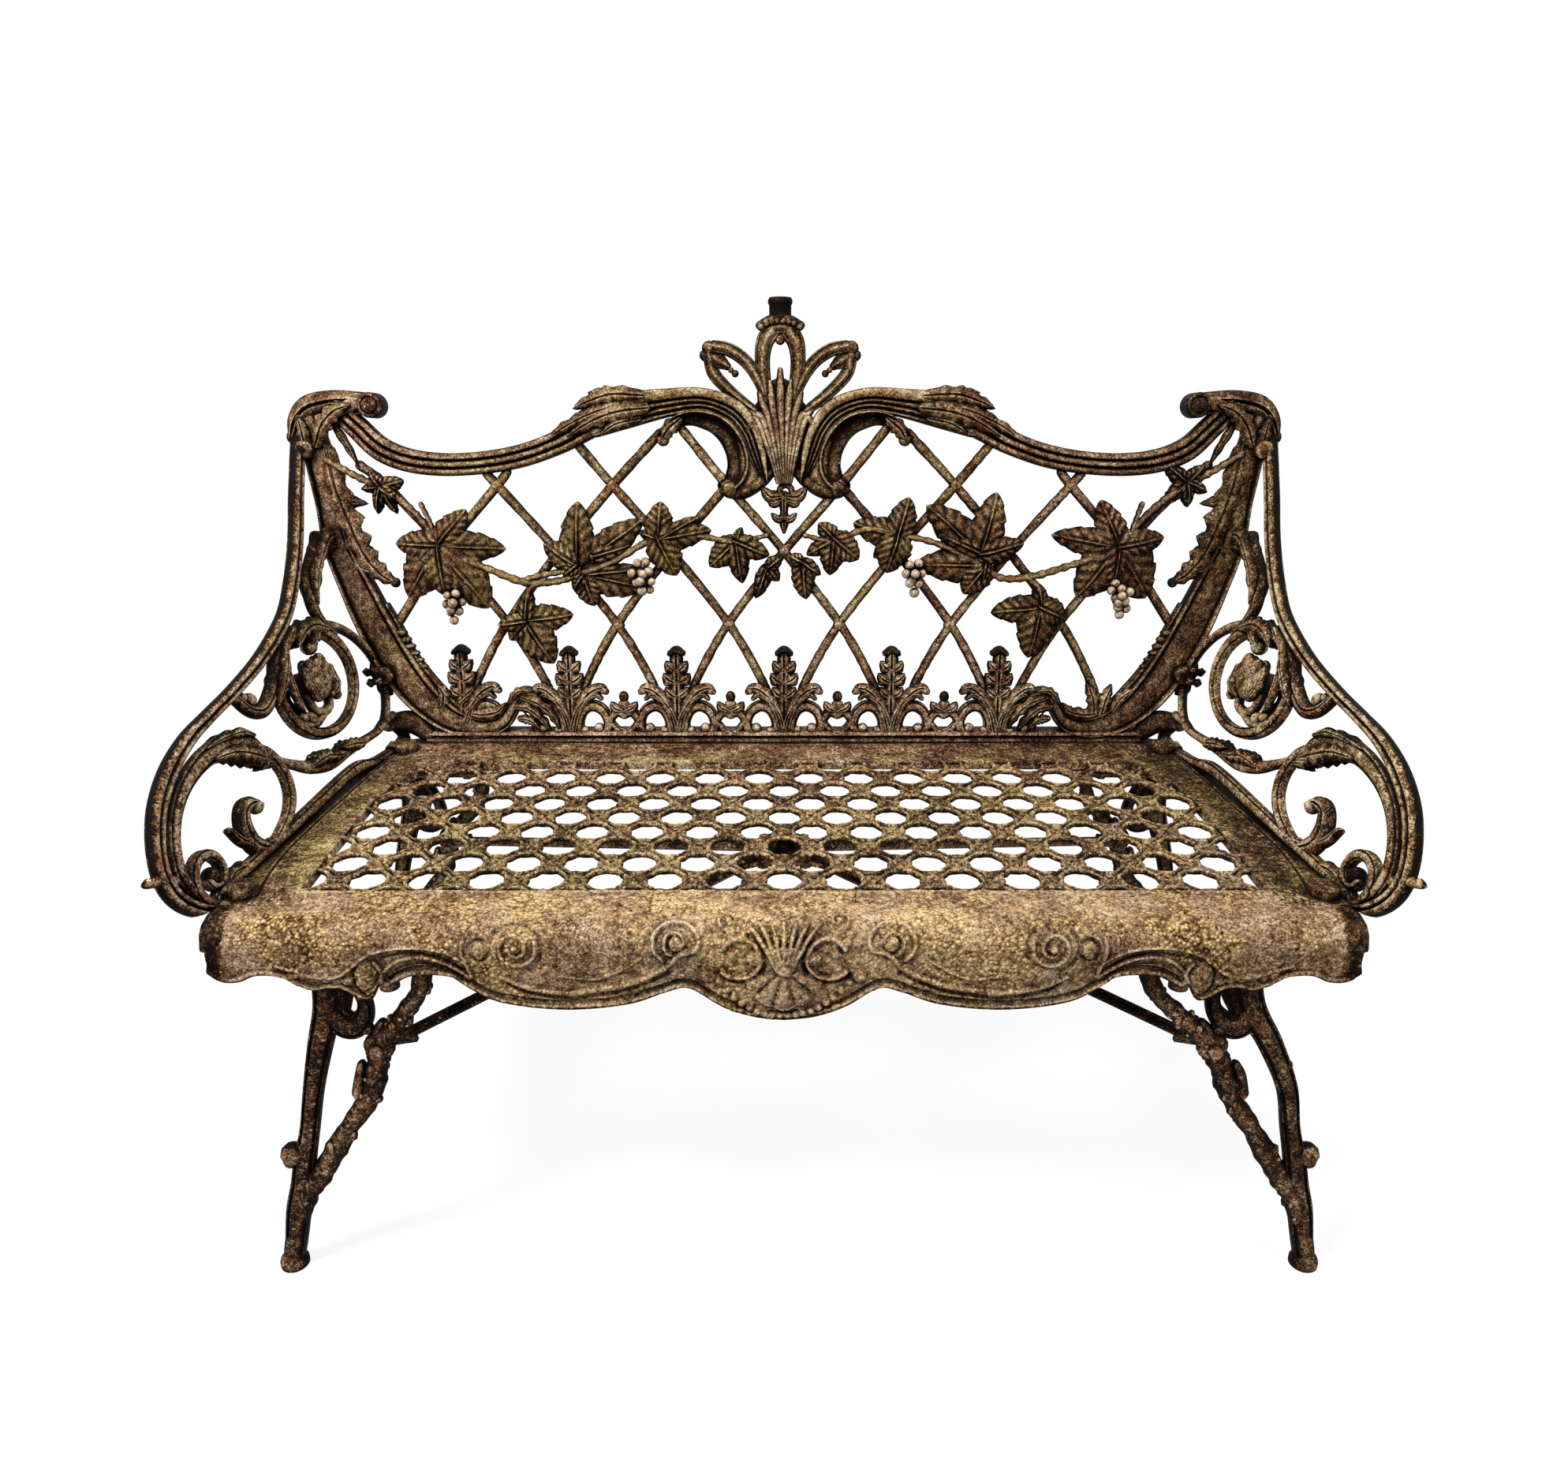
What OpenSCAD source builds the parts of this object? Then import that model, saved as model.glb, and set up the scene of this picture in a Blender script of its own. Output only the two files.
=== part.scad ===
/* [Seat] */
// height of the seat's top face above the floor
seat_z = 430; // [400:1:460]
// thickness of the cast seat plate
seat_t = 8; // [7:0.5:10]
// distance across the grille holes
hole_w = 36; // [32:0.5:38]
// spacing of the grille holes along a row
hole_pitch = 60; // [58:0.5:64]
// spacing of the rows of holes
row_pitch = 37.4; // [36:0.2:39]
// depth of the apron below the seat at the middle
apron_drop = 100; // [85:1:110]
// thickness of the apron wall
apron_t = 9; // [7:0.5:11]
// depth of the skirt round the seat's edge
skirt_h = 26; // [20:1:32]

/* [Back] */
// backward lean of the back panel, degrees
back_lean = 8; // [4:0.5:12]
// thickness of the frame of the back panel
frame_t = 14; // [12:0.5:18]
// width of the trellis bars
bar_w = 10; // [8:0.5:12]
// spacing of the fleurons and of the trellis
bay = 137.5; // [134:0.5:140]
// height of the flat ledge the back stands on
ledge_h = 14; // [13:0.5:18]

/* [Arms] */
// thickness of the arm castings
arm_t = 14; // [12:0.5:16]
// outward lean of the arms, degrees
arm_lean = 15.4; // [12:0.2:18]
// how far the arms open towards the front, degrees
arm_splay = 8; // [5:0.2:9]

/* [Legs and stays] */
// thickness of the leg castings
leg_t = 18; // [16:0.5:22]
// extra outward reach of the right front foot
leg_reach = 33; // [0:1:40]
// extra outward reach of the back feet
back_reach = 62; // [0:1:66]
// backward rake of the back legs, degrees
back_rake = 13.5; // [0:0.5:16]
// thickness of the leg flanges under the seat
flange_t = 8; // [6:0.5:10]
// diameter of the stay rods
stay_d = 12; // [10:0.5:14]
// thickness of the flattened stay ends
eye_t = 6; // [5:0.5:8]
// width of the flattened stay ends
eye_w = 24; // [22:0.5:28]

/* [Fixings] */
// diameter of the large bolts
bolt_d = 8; // [6:0.5:8]
// diameter of the small bolts that hold the arms
small_d = 6; // [5:0.5:6]
// clearance of the bolts in their holes, across the diameter
clear = 0.6; // [0.4:0.1:0.8]

/* [Hidden] */
$fn = 24;
y_back = 200.5;
y_rear = 216;
y_front = -280;
y_mid = -40;
boss_drop = 20;
z_under = seat_z - seat_t;
z_flange = z_under - boss_drop;
head_h = bolt_d * 0.7;
head_r = bolt_d * 0.86;
small_h = small_d * 0.7;
small_r = small_d * 0.86;
wash_t = 1.6;
wash_r = bolt_d;
hole_d = bolt_d + clear;
small_hole = small_d + clear;
disc_t = 8;
disc_r = 36;
disc_z = z_under - 12 - disc_t;
eye_pcd = 25;
// the boss stands on the web behind the middle of the seat's front half
hub_off = 29;
y_hub = y_mid - hub_off;
leg_y = 221;
joint_x = 402;
joint_z = 285;
tap_deep = 14;
back_bolt_x = [-400, -200, 0, 200, 400];
back_bolt_y = y_back - 4.5;
leg_bolt_x = [365, 411];
// the back legs stand this much further out, under the solid rim
back_shift = 46;
arm_pad = [[530, -214], [482, 164]];
pad_r = 15;
pad_h = 12;
top_pad = [578, 366];
low_pad = [507, 88];

// smooth curve through the points, with n steps a span; each point may carry a width
function cat(a, b, c, d, t) = 0.5 * ((2 * b) + (c - a) * t
    + (2 * a - 5 * b + 4 * c - d) * t * t + (3 * b - a - 3 * c + d) * t * t * t);
function at(p, i) = p[min(max(i, 0), len(p) - 1)];
function curve(p, n = 4) = concat([for (i = [0 : len(p) - 2]) for (k = [0 : n - 1])
    cat(at(p, i - 1), p[i], p[i + 1], at(p, i + 2), k / n)], [p[len(p) - 1]]);
function unit(v) = v / max(norm(v), 0.0001);
function side(c, i) = let (d = unit([at(c, i + 1)[0] - at(c, i - 1)[0],
    at(c, i + 1)[1] - at(c, i - 1)[1]])) [-d[1], d[0]];
function edge(c, s) = [for (i = [0 : len(c) - 1])
    [c[i][0], c[i][1]] + s * c[i][2] / 2 * side(c, i)];
function flip(v) = [for (i = [len(v) - 1 : -1 : 0]) v[i]];

// a bar that follows a curve; the third number of each point is its width there
module bar(p, n = 4) {
    c = curve(p, n);
    polygon(concat(edge(c, 1), flip(edge(c, -1))));
}

// a vine leaf with lobes: reach, lobes, turn of the tip and depth of the cuts between lobes
module leaf(r, lobes = 5, turn = -90, cut = 0.42) {
    polygon([for (k = [0 : 35]) let (a = k * 10, h = abs(sin(lobes * a / 2)),
        e = 0.78 + 0.22 * cos(a), q = r * e * (1 - cut * pow(h, 3)))
        [q * cos(a + turn), q * sin(a + turn)]]);
}

// a slender pointed leaf from the origin along x
module blade(l, w) {
    polygon(concat([for (k = [0 : 6]) [l * k / 6, w / 2 * pow(sin(k * 30), 0.8)]],
        [for (k = [5 : -1 : 1]) [l * k / 6, -w / 2 * pow(sin(k * 30), 0.8)]]));
}

module grapes(r = 9) {
    for (p = [[-9, 7, 0], [9, 6, 1], [0, -5, 3], [1, -19, 0]])
        translate(p) sphere(r = r, $fn = 16);
}

module both() { children(); mirror([1, 0, 0]) children(); }

module bolt(d, len, hr, hh) {
    cylinder(d = d, h = len);
    translate([0, 0, -hh]) cylinder(r = hr, h = hh + 0.01, $fn = 6);
}
module nut(d, hr, hh) {
    difference() {
        cylinder(r = hr, h = hh, $fn = 6);
        translate([0, 0, -1]) cylinder(d = d + 0.2, h = hh + 2);
    }
}
module washer(d, r) {
    difference() {
        cylinder(r = r, h = wash_t);
        translate([0, 0, -1]) cylinder(d = d + 0.4, h = wash_t + 2);
    }
}

// places things in the plane of the back: x across, y up the slope, z towards the front
module on_back() translate([0, y_back, seat_z]) rotate([90 - back_lean, 0, 0]) children();

// places things in the plane of the left arm: x forward, y up, z outward
module on_arm() translate([-497, 184.6, seat_z])
    rotate([0, 0, -90 - arm_splay]) rotate([90 + arm_lean, 0, 0]) children();

// the back: right half of the frame as flat curves
rail_mid = [[46, 352, 30], [58, 388, 34], [90, 414, 34], [140, 416, 38], [190, 410, 46],
    [235, 396, 42], [275, 371, 32], [330, 353, 28], [395, 347, 28], [450, 350, 28],
    [490, 364, 28], [518, 390, 28], [540, 412, 30]];
curl_in = [[52, 372, 22], [47, 342, 24], [56, 318, 26], [72, 312, 18], [80, 320, 10]];
curl_up = [[150, 404, 14], [128, 395, 14], [104, 405, 12], [80, 396, 12], [60, 376, 14]];
stile = [[575, 392, 30], [567, 350, 32], [561, 300, 30], [555, 250, 34], [537, 200, 42],
    [517, 150, 52], [493, 100, 56], [466, 58, 52], [432, 28, 44], [396, 16, 34],
    [366, 24, 26], [350, 44, 20], [338, 56, 14]];
ear_hood = [[598, 380, 12], [591, 398, 25], [574, 412, 30], [545, 418, 26], [515, 420, 22],
    [498, 417, 24]];

module fleuron() {
    for (s = [-1, 1]) {
        translate([0, 16]) rotate(90 - s * 32) blade(72, 15);
        translate([0, 22]) rotate(90 - s * 16) blade(88, 13);
        difference() {
            translate([s * 22, 26]) circle(r = 19);
            translate([s * 23, 25]) circle(r = 10);
        }
    }
    bar([[0, 10, 22], [0, 50, 18], [0, 80, 22], [0, 92, 16], [0, 104, 20], [0, 118, 10]], 3);
    for (s = [-1, 1]) translate([0, 84]) rotate(90 - s * 52) blade(26, 11);
}
module bud_finial() {
    difference() {
        union() {
            for (s = [-1, 1]) translate([s * 11, 30]) circle(r = 15);
            translate([0, 47]) circle(r = 9);
            translate([0, 57]) circle(r = 6);
        }
        translate([0, 33]) circle(r = 7);
    }
    translate([-34, 12]) square([68, 8]);
}

// one trellis bar from a top node down to the ledge, leaning to the right;
// up is the step back from the node to the rail above
module slat(x, up = [0, 0]) {
    t0 = up[1] > 0 ? [[x - up[0], 322 + up[1], bar_w]] : [];
    bar(concat(t0, [[x, 322, bar_w], [x + 70, 242, bar_w], [x + 142, 150, bar_w],
        [x + 182, 80, bar_w], [x + 192, 50, bar_w]]), 3);
}

module crest() {
    difference() {
        bar([[0, 330, 60], [0, 380, 70], [0, 420, 60], [0, 446, 48], [0, 480, 56],
            [0, 505, 50]], 4);
        bar([[0, 446, 10], [0, 458, 20], [0, 480, 26], [0, 492, 14]], 4);
    }
    translate([0, 486]) circle(r = 7);
    bar([[0, 440, 8], [0, 462, 8]], 2);
    translate([-28, 503]) square([56, 14]);
    both() {
        difference() {
            bar([[26, 405, 30], [40, 440, 42], [62, 468, 46], [80, 484, 24]], 4);
            bar([[36, 432, 8], [48, 450, 18], [62, 464, 16], [70, 472, 6]], 4);
        }
        translate([82, 484]) circle(r = 11);
        translate([0, 330]) rotate(62) blade(120, 26);
    }
}

module pendant() {
    difference() {
        union() {
            both() {
                translate([14, 306]) rotate(20) blade(26, 14);
                translate([4, 290]) rotate(-30) blade(26, 14);
            }
            bar([[0, 338, 26], [0, 310, 30], [0, 285, 16], [0, 262, 14]], 4);
        }
        translate([0, 322]) circle(r = 8);
    }
}

module vines() {
    // left half
    translate([-490, 316]) leaf(24, 4, 0);
    bar([[-545, 352, 8], [-510, 330, 9], [-470, 304, 8], [-430, 250, 8]], 4);
    translate([-412, 240]) leaf(72, 5, -86);
    bar([[-412, 236, 8], [-370, 222, 9], [-325, 206, 9], [-285, 206, 8], [-250, 216, 8],
        [-200, 238, 8], [-150, 264, 7], [-90, 266, 7], [-56, 240, 7]], 4);
    translate([-314, 152]) leaf(46, 3, -80);
    translate([-276, 256]) leaf(46, 3, 60);
    translate([-212, 264]) leaf(36, 3, 20);
    translate([-214, 212]) leaf(44, 3, -150);
    translate([-142, 250]) leaf(46, 4, -85);
    translate([-56, 240]) leaf(34, 5, -80);
    translate([-18, 214]) leaf(26, 3, -60);
    // right half
    translate([498, 322]) leaf(25, 4, 180);
    bar([[540, 358, 8], [505, 336, 9], [468, 302, 8], [425, 255, 8]], 4);
    translate([408, 240]) leaf(70, 5, -94);
    bar([[405, 244, 8], [370, 232, 9], [330, 218, 9], [290, 208, 8], [250, 222, 8],
        [200, 250, 8], [150, 260, 7], [95, 272, 7], [60, 244, 7]], 4);
    translate([312, 156]) leaf(46, 3, -100);
    translate([252, 272]) leaf(44, 4, 70);
    translate([205, 272]) leaf(38, 3, 160);
    translate([212, 218]) leaf(46, 3, -20);
    translate([134, 258]) leaf(46, 4, 80);
    translate([60, 244]) leaf(36, 5, -95);
    translate([26, 212]) leaf(28, 3, -100);
}

module back_flat() {
    both() {
        bar(rail_mid, 4);
        bar(curl_in, 4);
        bar(curl_up, 4);
        bar(ear_hood, 4);
        // acanthus inside the stile
        bar([[548, 330, 14], [532, 280, 26], [518, 240, 26], [502, 214, 18],
            [490, 204, 14]], 4);
        // egg beads inside the stile
        for (k = [0 : 4]) translate([484 - k * 6, 140 - k * 15]) circle(r = 10);
        // acanthus tuft at the foot of the stile
        translate([338, 20]) rotate(120) blade(52, 24);
        translate([322, 14]) rotate(100) blade(46, 22);
        bar([[60, 420, 26], [30, 400, 40], [10, 370, 50]], 3);
    }
    for (k = [-2 : 2]) translate([k * bay, 0]) fleuron();
    translate([-3 * bay, 0]) fleuron();
    for (k = [-2 : 1]) translate([(k + 0.5) * bay, 0]) bud_finial();
    translate([395, 30]) rotate(100) blade(50, 18);
    translate([415, 34]) rotate(55) blade(52, 18);
    crest();
    pendant();
}

bay_fit = bay / 137.5;
module trellis_flat() {
    intersection() {
        scale([bay_fit, 1]) for (m = [0, 1]) mirror([m, 0, 0]) {
            slat(-490, [30, 24]);
            slat(-353, [12, 14]);
            slat(-211, [42, 50]);
            slat(-70, [54, 66]);
            slat(70);
            slat(211, [70, 70]);
            bar([[353, 322, bar_w], [425, 242, bar_w], [487, 156, bar_w]], 3);
        }
        translate([-560, 0]) square([1120, 385]);
    }
}

// ribs on the front of the rails and stiles
module reeds() {
    for (o = [-9, 9]) both() {
        bar([for (p = rail_mid) if (p[0] > 200 && p[0] < 520) [p[0], p[1] + o, 6]], 2);
        bar([for (p = stile) if (p[1] > 90 && p[1] < 360) [p[0] + o, p[1], 6]], 2);
    }
}

module back_panel() color("saddlebrown") {
    difference() {
        union() {
            on_back() {
                translate([0, 0, -frame_t / 2]) linear_extrude(frame_t) {
                    back_flat();
                    both() bar(stile, 4);
                }
                translate([0, 0, -bar_w / 2]) linear_extrude(bar_w) trellis_flat();
                translate([0, 0, bar_w / 2 - 3]) linear_extrude(7) scale([bay_fit, 1]) vines();
                translate([0, 0, frame_t / 2 - 1]) linear_extrude(4) reeds();
                for (s = [-1, 1]) translate([s * 498, 417, -14])
                    cylinder(r = 14, h = frame_t + 14);
                for (p = [[-408, 182], [-178, 216], [165, 214], [420, 186]])
                    translate([p[0] * bay_fit, p[1], 8]) grapes();
                translate([0, 515, 0]) rotate([-90, 0, 0]) cylinder(r = 13, h = 22);
            }
            // the flat ledge that stands on the seat
            translate([-460, y_back - 11, seat_z]) cube([920, 26, ledge_h]);
        }
        translate([-700, y_back - 100, seat_z - 60]) cube([1400, 200, 60]);
        for (x = back_bolt_x) translate([x, back_bolt_y, seat_z - 1])
            cylinder(d = hole_d, h = tap_deep - 2);
        on_back() both() for (p = [top_pad, low_pad])
            translate([p[0], p[1], -frame_t]) cylinder(d = small_hole, h = 2 * frame_t);
    }
}

// seat
seat_edge = [[-452, y_rear], [-488, 206], [-510, 180], [-524, 130], [-540, 60], [-551, -20],
    [-559, -110], [-557, -180], [-548, -240], [-538, -268]];
module seat_outline() {
    h = curve(seat_edge, 3);
    polygon(concat(h, flip([for (p = h) [-p[0], p[1]]])));
}
module seat_inner(k) {
    h = curve(seat_edge, 3);
    polygon(concat([for (p = h) [p[0] * (1 - k / 560), p[1] > 200 ? p[1] - k : p[1]]],
        flip([for (p = h) [-p[0] * (1 - k / 560), p[1] > 200 ? p[1] - k : p[1]]])));
}
module grille_field() {
    polygon(concat([[-405, 126], [-440, 112], [-462, 70], [-474, 0], [-478, -100],
        [-478, -214]], flip([[405, 126], [440, 112], [462, 70], [474, 0], [478, -100],
        [478, -214]])));
}
module grille_holes() {
    intersection() {
        grille_field();
        for (n = [-1 : 8]) for (k = [-8 : 8]) {
            x = k * hole_pitch + (n % 2 == 0 ? hole_pitch / 2 : 0);
            y = 80.6 - n * row_pitch;
            if (abs(x) < 470)
                translate([x, y]) rotate(22.5) circle(d = hole_w * 1.06, $fn = 8);
        }
    }
}
// the apron's lower edge: x and the drop below the seat's top face
apron_low = [[552, 46], [541, 59], [520, 60], [503, 52], [482, 50], [470, 62], [446, 64], [420, 78],
    [398, 68], [376, 54], [340, 52], [310, 64], [270, 80], [210, 88], [150, 82],
    [112, 68], [90, 64], [60, 84], [30, 96], [0, apron_drop]];
module apron_face() {
    r = curve([for (p = apron_low) [p[0], seat_z - p[1]]], 3);
    polygon(concat([[-552, seat_z], [552, seat_z]], r, flip([for (p = r) [-p[0], p[1]]])));
}
module apron_section() {
    // flat strip, rounded nose and hanging wall, seen from the end
    translate([y_front + 26, seat_z - seat_t]) square([48, seat_t]);
    translate([y_front, seat_z - 120]) square([apron_t, 120 - 26]);
    translate([y_front + 26, seat_z - 26]) difference() {
        circle(r = 26, $fn = 48);
        circle(r = 26 - apron_t, $fn = 48);
        translate([0, -30]) square([30, 60]);
        translate([-30, -30]) square([60, 30]);
    }
}
module shell() {
    for (a = [-72 : 18 : 72]) translate([0, 0, 0]) rotate(a - 90) blade(56, 15);
    circle(r = 16);
}
module apron_relief() {
    translate([0, seat_z - 38]) shell();
    both() {
        translate([98, seat_z - 22]) difference() { circle(r = 17); circle(r = 11); }
        translate([98, seat_z - 22]) circle(r = 5);
        translate([250, seat_z - 24]) difference() { circle(r = 24); circle(r = 17); }
        translate([250, seat_z - 24]) difference() { circle(r = 12); circle(r = 6); }
        translate([0, seat_z]) {
            bar([[118, -38, 5], [160, -64, 6], [210, -74, 6], [262, -64, 6],
                [300, -46, 5]], 4);
            bar([[300, -38, 5], [345, -32, 6], [385, -42, 6], [415, -64, 5]], 4);
            bar([[430, -54, 12], [452, -42, 16], [478, -38, 8]], 3);
        }
    }
}
leg_spots = [for (s = [-1, 1]) for (q = [-1, 1]) for (x = leg_bolt_x)
    [s * (x + (q > 0 ? back_shift : 0)), y_mid + q * (leg_y - 4)]];

module seat_panel() color("peru") {
    difference() {
        union() {
            translate([0, 0, z_under]) linear_extrude(seat_t) difference() {
                seat_outline();
                translate([-600, y_front - 5]) square([1200, 60]);
            }
            // rim moulding
            translate([0, 0, seat_z - skirt_h]) linear_extrude(skirt_h) difference() {
                seat_outline();
                seat_inner(10);
                translate([-600, y_front - 5]) square([1200, 60]);
            }
            // nose and apron
            intersection() {
                translate([-552, 0, 0]) rotate([90, 0, 90]) linear_extrude(1104)
                    apron_section();
                translate([0, y_front + 200, 0]) rotate([90, 0, 0]) linear_extrude(260)
                    apron_face();
                translate([0, 0, 300]) linear_extrude(200)
                    translate([-546, y_front]) square([1092, 80]);
            }
            translate([0, y_front + 1, 0]) rotate([90, 0, 0]) linear_extrude(5)
                intersection() { apron_relief(); apron_face(); }
            // rolled ends of the apron
            for (s = [-1, 1]) translate([s * 537, y_front + 14, seat_z - 58])
                cylinder(r = 13, h = 52);
            for (p = leg_spots) translate([p[0], p[1], z_flange])
                cylinder(r = 13, h = boss_drop + 1);
            translate([0, y_hub, disc_z + disc_t]) cylinder(r = 12, h = 13);
        }
        translate([0, 0, z_under - 1]) linear_extrude(seat_t + 2) grille_holes();
        // groove round the rim
        translate([0, 0, seat_z - 1.5]) linear_extrude(3) difference() {
            seat_inner(34);
            seat_inner(39);
            translate([-600, y_front - 5]) square([1200, 70]);
        }
        for (p = leg_spots) translate([p[0], p[1], z_flange - 1])
            cylinder(d = hole_d, h = tap_deep + 1);
        for (x = back_bolt_x) translate([x, back_bolt_y, z_under - 1])
            cylinder(d = hole_d, h = seat_t + 2);
        for (s = [-1, 1]) for (p = arm_pad) translate([s * p[0], p[1], z_under - 1])
            cylinder(d = small_hole, h = seat_t + 2);
        translate([0, y_hub, disc_z + disc_t - 1]) cylinder(d = hole_d, h = tap_deep + 1);
    }
}

// arm, as flat curves in its own plane
arm_rail = [[-58, 394, 18], [-20, 350, 18], [5, 321, 18], [30, 290, 18], [56, 262, 18],
    [84, 236, 18], [114, 213, 17], [148, 196, 17], [200, 178, 16], [260, 164, 15],
    [310, 155, 15], [352, 146, 16], [392, 130, 17], [425, 108, 17], [447, 82, 16],
    [458, 56, 18], [458, 30, 20], [444, 8, 18], [420, -4, 14]];
arm_inner = [[262, 100, 12], [276, 112, 24], [305, 121, 24], [345, 121, 22], [382, 112, 18],
    [412, 93, 16], [432, 68, 16], [440, 42, 16], [430, 10, 14], [405, -2, 13], [382, 6, 13],
    [376, 26, 13], [390, 40, 11], [408, 36, 9], [410, 24, 8]];
arm_cback = [[268, 106, 12], [248, 86, 14], [238, 62, 14], [244, 36, 14], [264, 18, 12],
    [292, 6, 12]];
arm_stem = [[262, 98, 10], [238, 74, 10], [212, 60, 12], [186, 46, 16], [150, 38, 24],
    [110, 38, 20], [70, 34, 12], [30, 34, 12], [6, 40, 12], [-14, 62, 11], [-26, 90, 18],
    [-20, 118, 11], [-4, 142, 12], [20, 162, 12], [52, 178, 14], [90, 186, 14]];
arm_base = [[-46, 4, 14], [40, 7, 13], [140, 10, 14], [240, 8, 14], [320, 5, 14],
    [400, 2, 14]];
arm_leaf = [[-34, 262, 12], [-8, 262, 26], [24, 246, 30], [50, 226, 28], [56, 204, 18],
    [50, 184, 12], [42, 164, 12]];
arm_curl = [[150, 176, 14], [174, 158, 20], [200, 140, 20], [226, 132, 20], [248, 140, 16],
    [258, 158, 12]];
arm_bud = [[62, 118, 16], [84, 128, 34], [112, 128, 40], [140, 124, 34], [150, 112, 12]];

module oval(rx, ry) {
    polygon([for (a = [0 : 12 : 359]) [113 + rx * cos(a), 126 + ry * sin(a)]]);
}
module arm_flat() {
    bar(arm_rail, 4);
    bar(arm_inner, 4);
    bar(arm_cback, 4);
    bar(arm_stem, 4);
    bar(arm_base, 3);
    bar(arm_leaf, 4);
    bar(arm_curl, 4);
    bar(arm_bud, 4);
    bar([[112, 118, 18], [104, 96, 18], [128, 86, 12], [160, 92, 12], [184, 100, 12]], 4);
    difference() {
        oval(85, 66);
        oval(71, 52);
    }
    // curled bud inside the front scroll
    bar([[297, 49, 8], [312, 52, 16], [326, 42, 20], [326, 20, 16], [318, 2, 14]], 4);
    bar([[330, 24, 14], [346, 34, 14], [356, 46, 6]], 3);
    // nub at the front of the scroll
    bar([[452, 46, 12], [468, 50, 12], [482, 53, 7]], 3);
    // leaf collar at the back joint
    translate([-26, 92]) circle(r = 16);
}

module arm() {
    difference() {
        union() {
            difference() {
                on_arm() translate([0, 0, -arm_t / 2]) linear_extrude(arm_t) arm_flat();
                translate([-720, -400, seat_z - 60]) cube([400, 800, 60]);
                // cut back to the front face of the back panel
                on_back() translate([-800, -100, frame_t / 2 - 100])
                    cube([800, 600, 100]);
            }
            for (p = arm_pad) translate([-p[0], p[1], seat_z]) cylinder(r = pad_r, h = pad_h);
            translate([-548, arm_pad[0][1] - 8, seat_z]) cube([24, 16, 9]);
            translate([-504, arm_pad[1][1] - 8, seat_z]) cube([24, 16, 9]);
            on_back() {
                translate([-top_pad[0], top_pad[1], frame_t / 2]) cylinder(r = 18, h = 14);
                translate([-low_pad[0], low_pad[1], frame_t / 2]) cylinder(r = 15, h = 14);
            }
        }
        for (p = arm_pad) translate([-p[0], p[1], seat_z - 1])
            cylinder(d = small_hole, h = pad_h - 2);
        on_back() for (p = [top_pad, low_pad]) translate([-p[0], p[1], 0])
            cylinder(d = small_hole, h = frame_t / 2 + 11);
    }
}
module arm_left() color("sienna") arm();
module arm_right() color("sienna") mirror([1, 0, 0]) arm();

// legs: x is the distance outward from the middle of the bench, y the height
leg_outer = [[533, -8, 20], [526, 30, 22], [516, 75, 25], [506, 110, 24], [498, 145, 22],
    [487, 184, 19], [475, 235, 21], [460, 288, 25], [444, 338, 30], [438, 404, 36]];
leg_branch = [[520, 60, 18], [502, 96, 24], [478, 132, 24], [448, 182, 22], [418, 226, 22],
    [407, 262, 24], [398, 292, 22], [374, 322, 18], [354, 352, 18], [342, 404, 22]];
leg_bracket = [[446, 330, 30], [428, 312, 34], [414, 318, 24], [410, 340, 14],
    [422, 372, 14], [424, 404, 14]];
foot_x = 532;
// height of the leg as drawn above; it is stretched to reach the seat
leg_drawn = leg_outer[len(leg_outer) - 1][1] - 2;
rise = z_flange / leg_drawn;

// each leg is [extra reach of its foot, rake, side of the middle that the boss lies on,
// heights between which the reach grows, step outward at the flange]
plain_leg = [0, 0, -1, leg_drawn, 0, 0];
reach_leg = [leg_reach, 0, -1, leg_drawn - 30, 250, 0];
raked_leg = [back_reach, back_rake, 1, leg_drawn, 0, back_shift];
function grown(z, g) = max(0, min(1, (g[3] - z) / (g[3] - g[4])));
function spread(x, z, g) = x + g[5] + (g[0] - g[5]) * grown(z, g);
function slope(z, g) = (z * rise - z_flange) / cos(g[1]);
function hub(g) = y_mid + g[2] * hub_off;
function lean_out(p, g) = [for (q = p) [spread(q[0], q[1], g), slope(q[1], g), q[2]]];

// places things in the plane of a left front leg: x outward, y up, z away from the bench
module on_leg(g) translate([0, y_mid - leg_y, z_flange]) rotate([90 - g[1], 0, 0])
    mirror([1, 0, 0]) children();
// the centre of the stay's joint on the leg
module on_joint(g) on_leg(g) translate([spread(joint_x, joint_z, g), slope(joint_z, g), 0])
    children();
// turns a left front part into any of the four: sx mirrors it to the right, sy to the back
module placed(sx, sy) translate([0, y_mid, 0]) mirror([sx, 0, 0]) mirror([0, sy, 0])
    translate([0, -y_mid, 0]) children();
corners = [[plain_leg, 0, 0], [reach_leg, 1, 0], [raked_leg, 0, 1], [raked_leg, 1, 1]];

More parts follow.
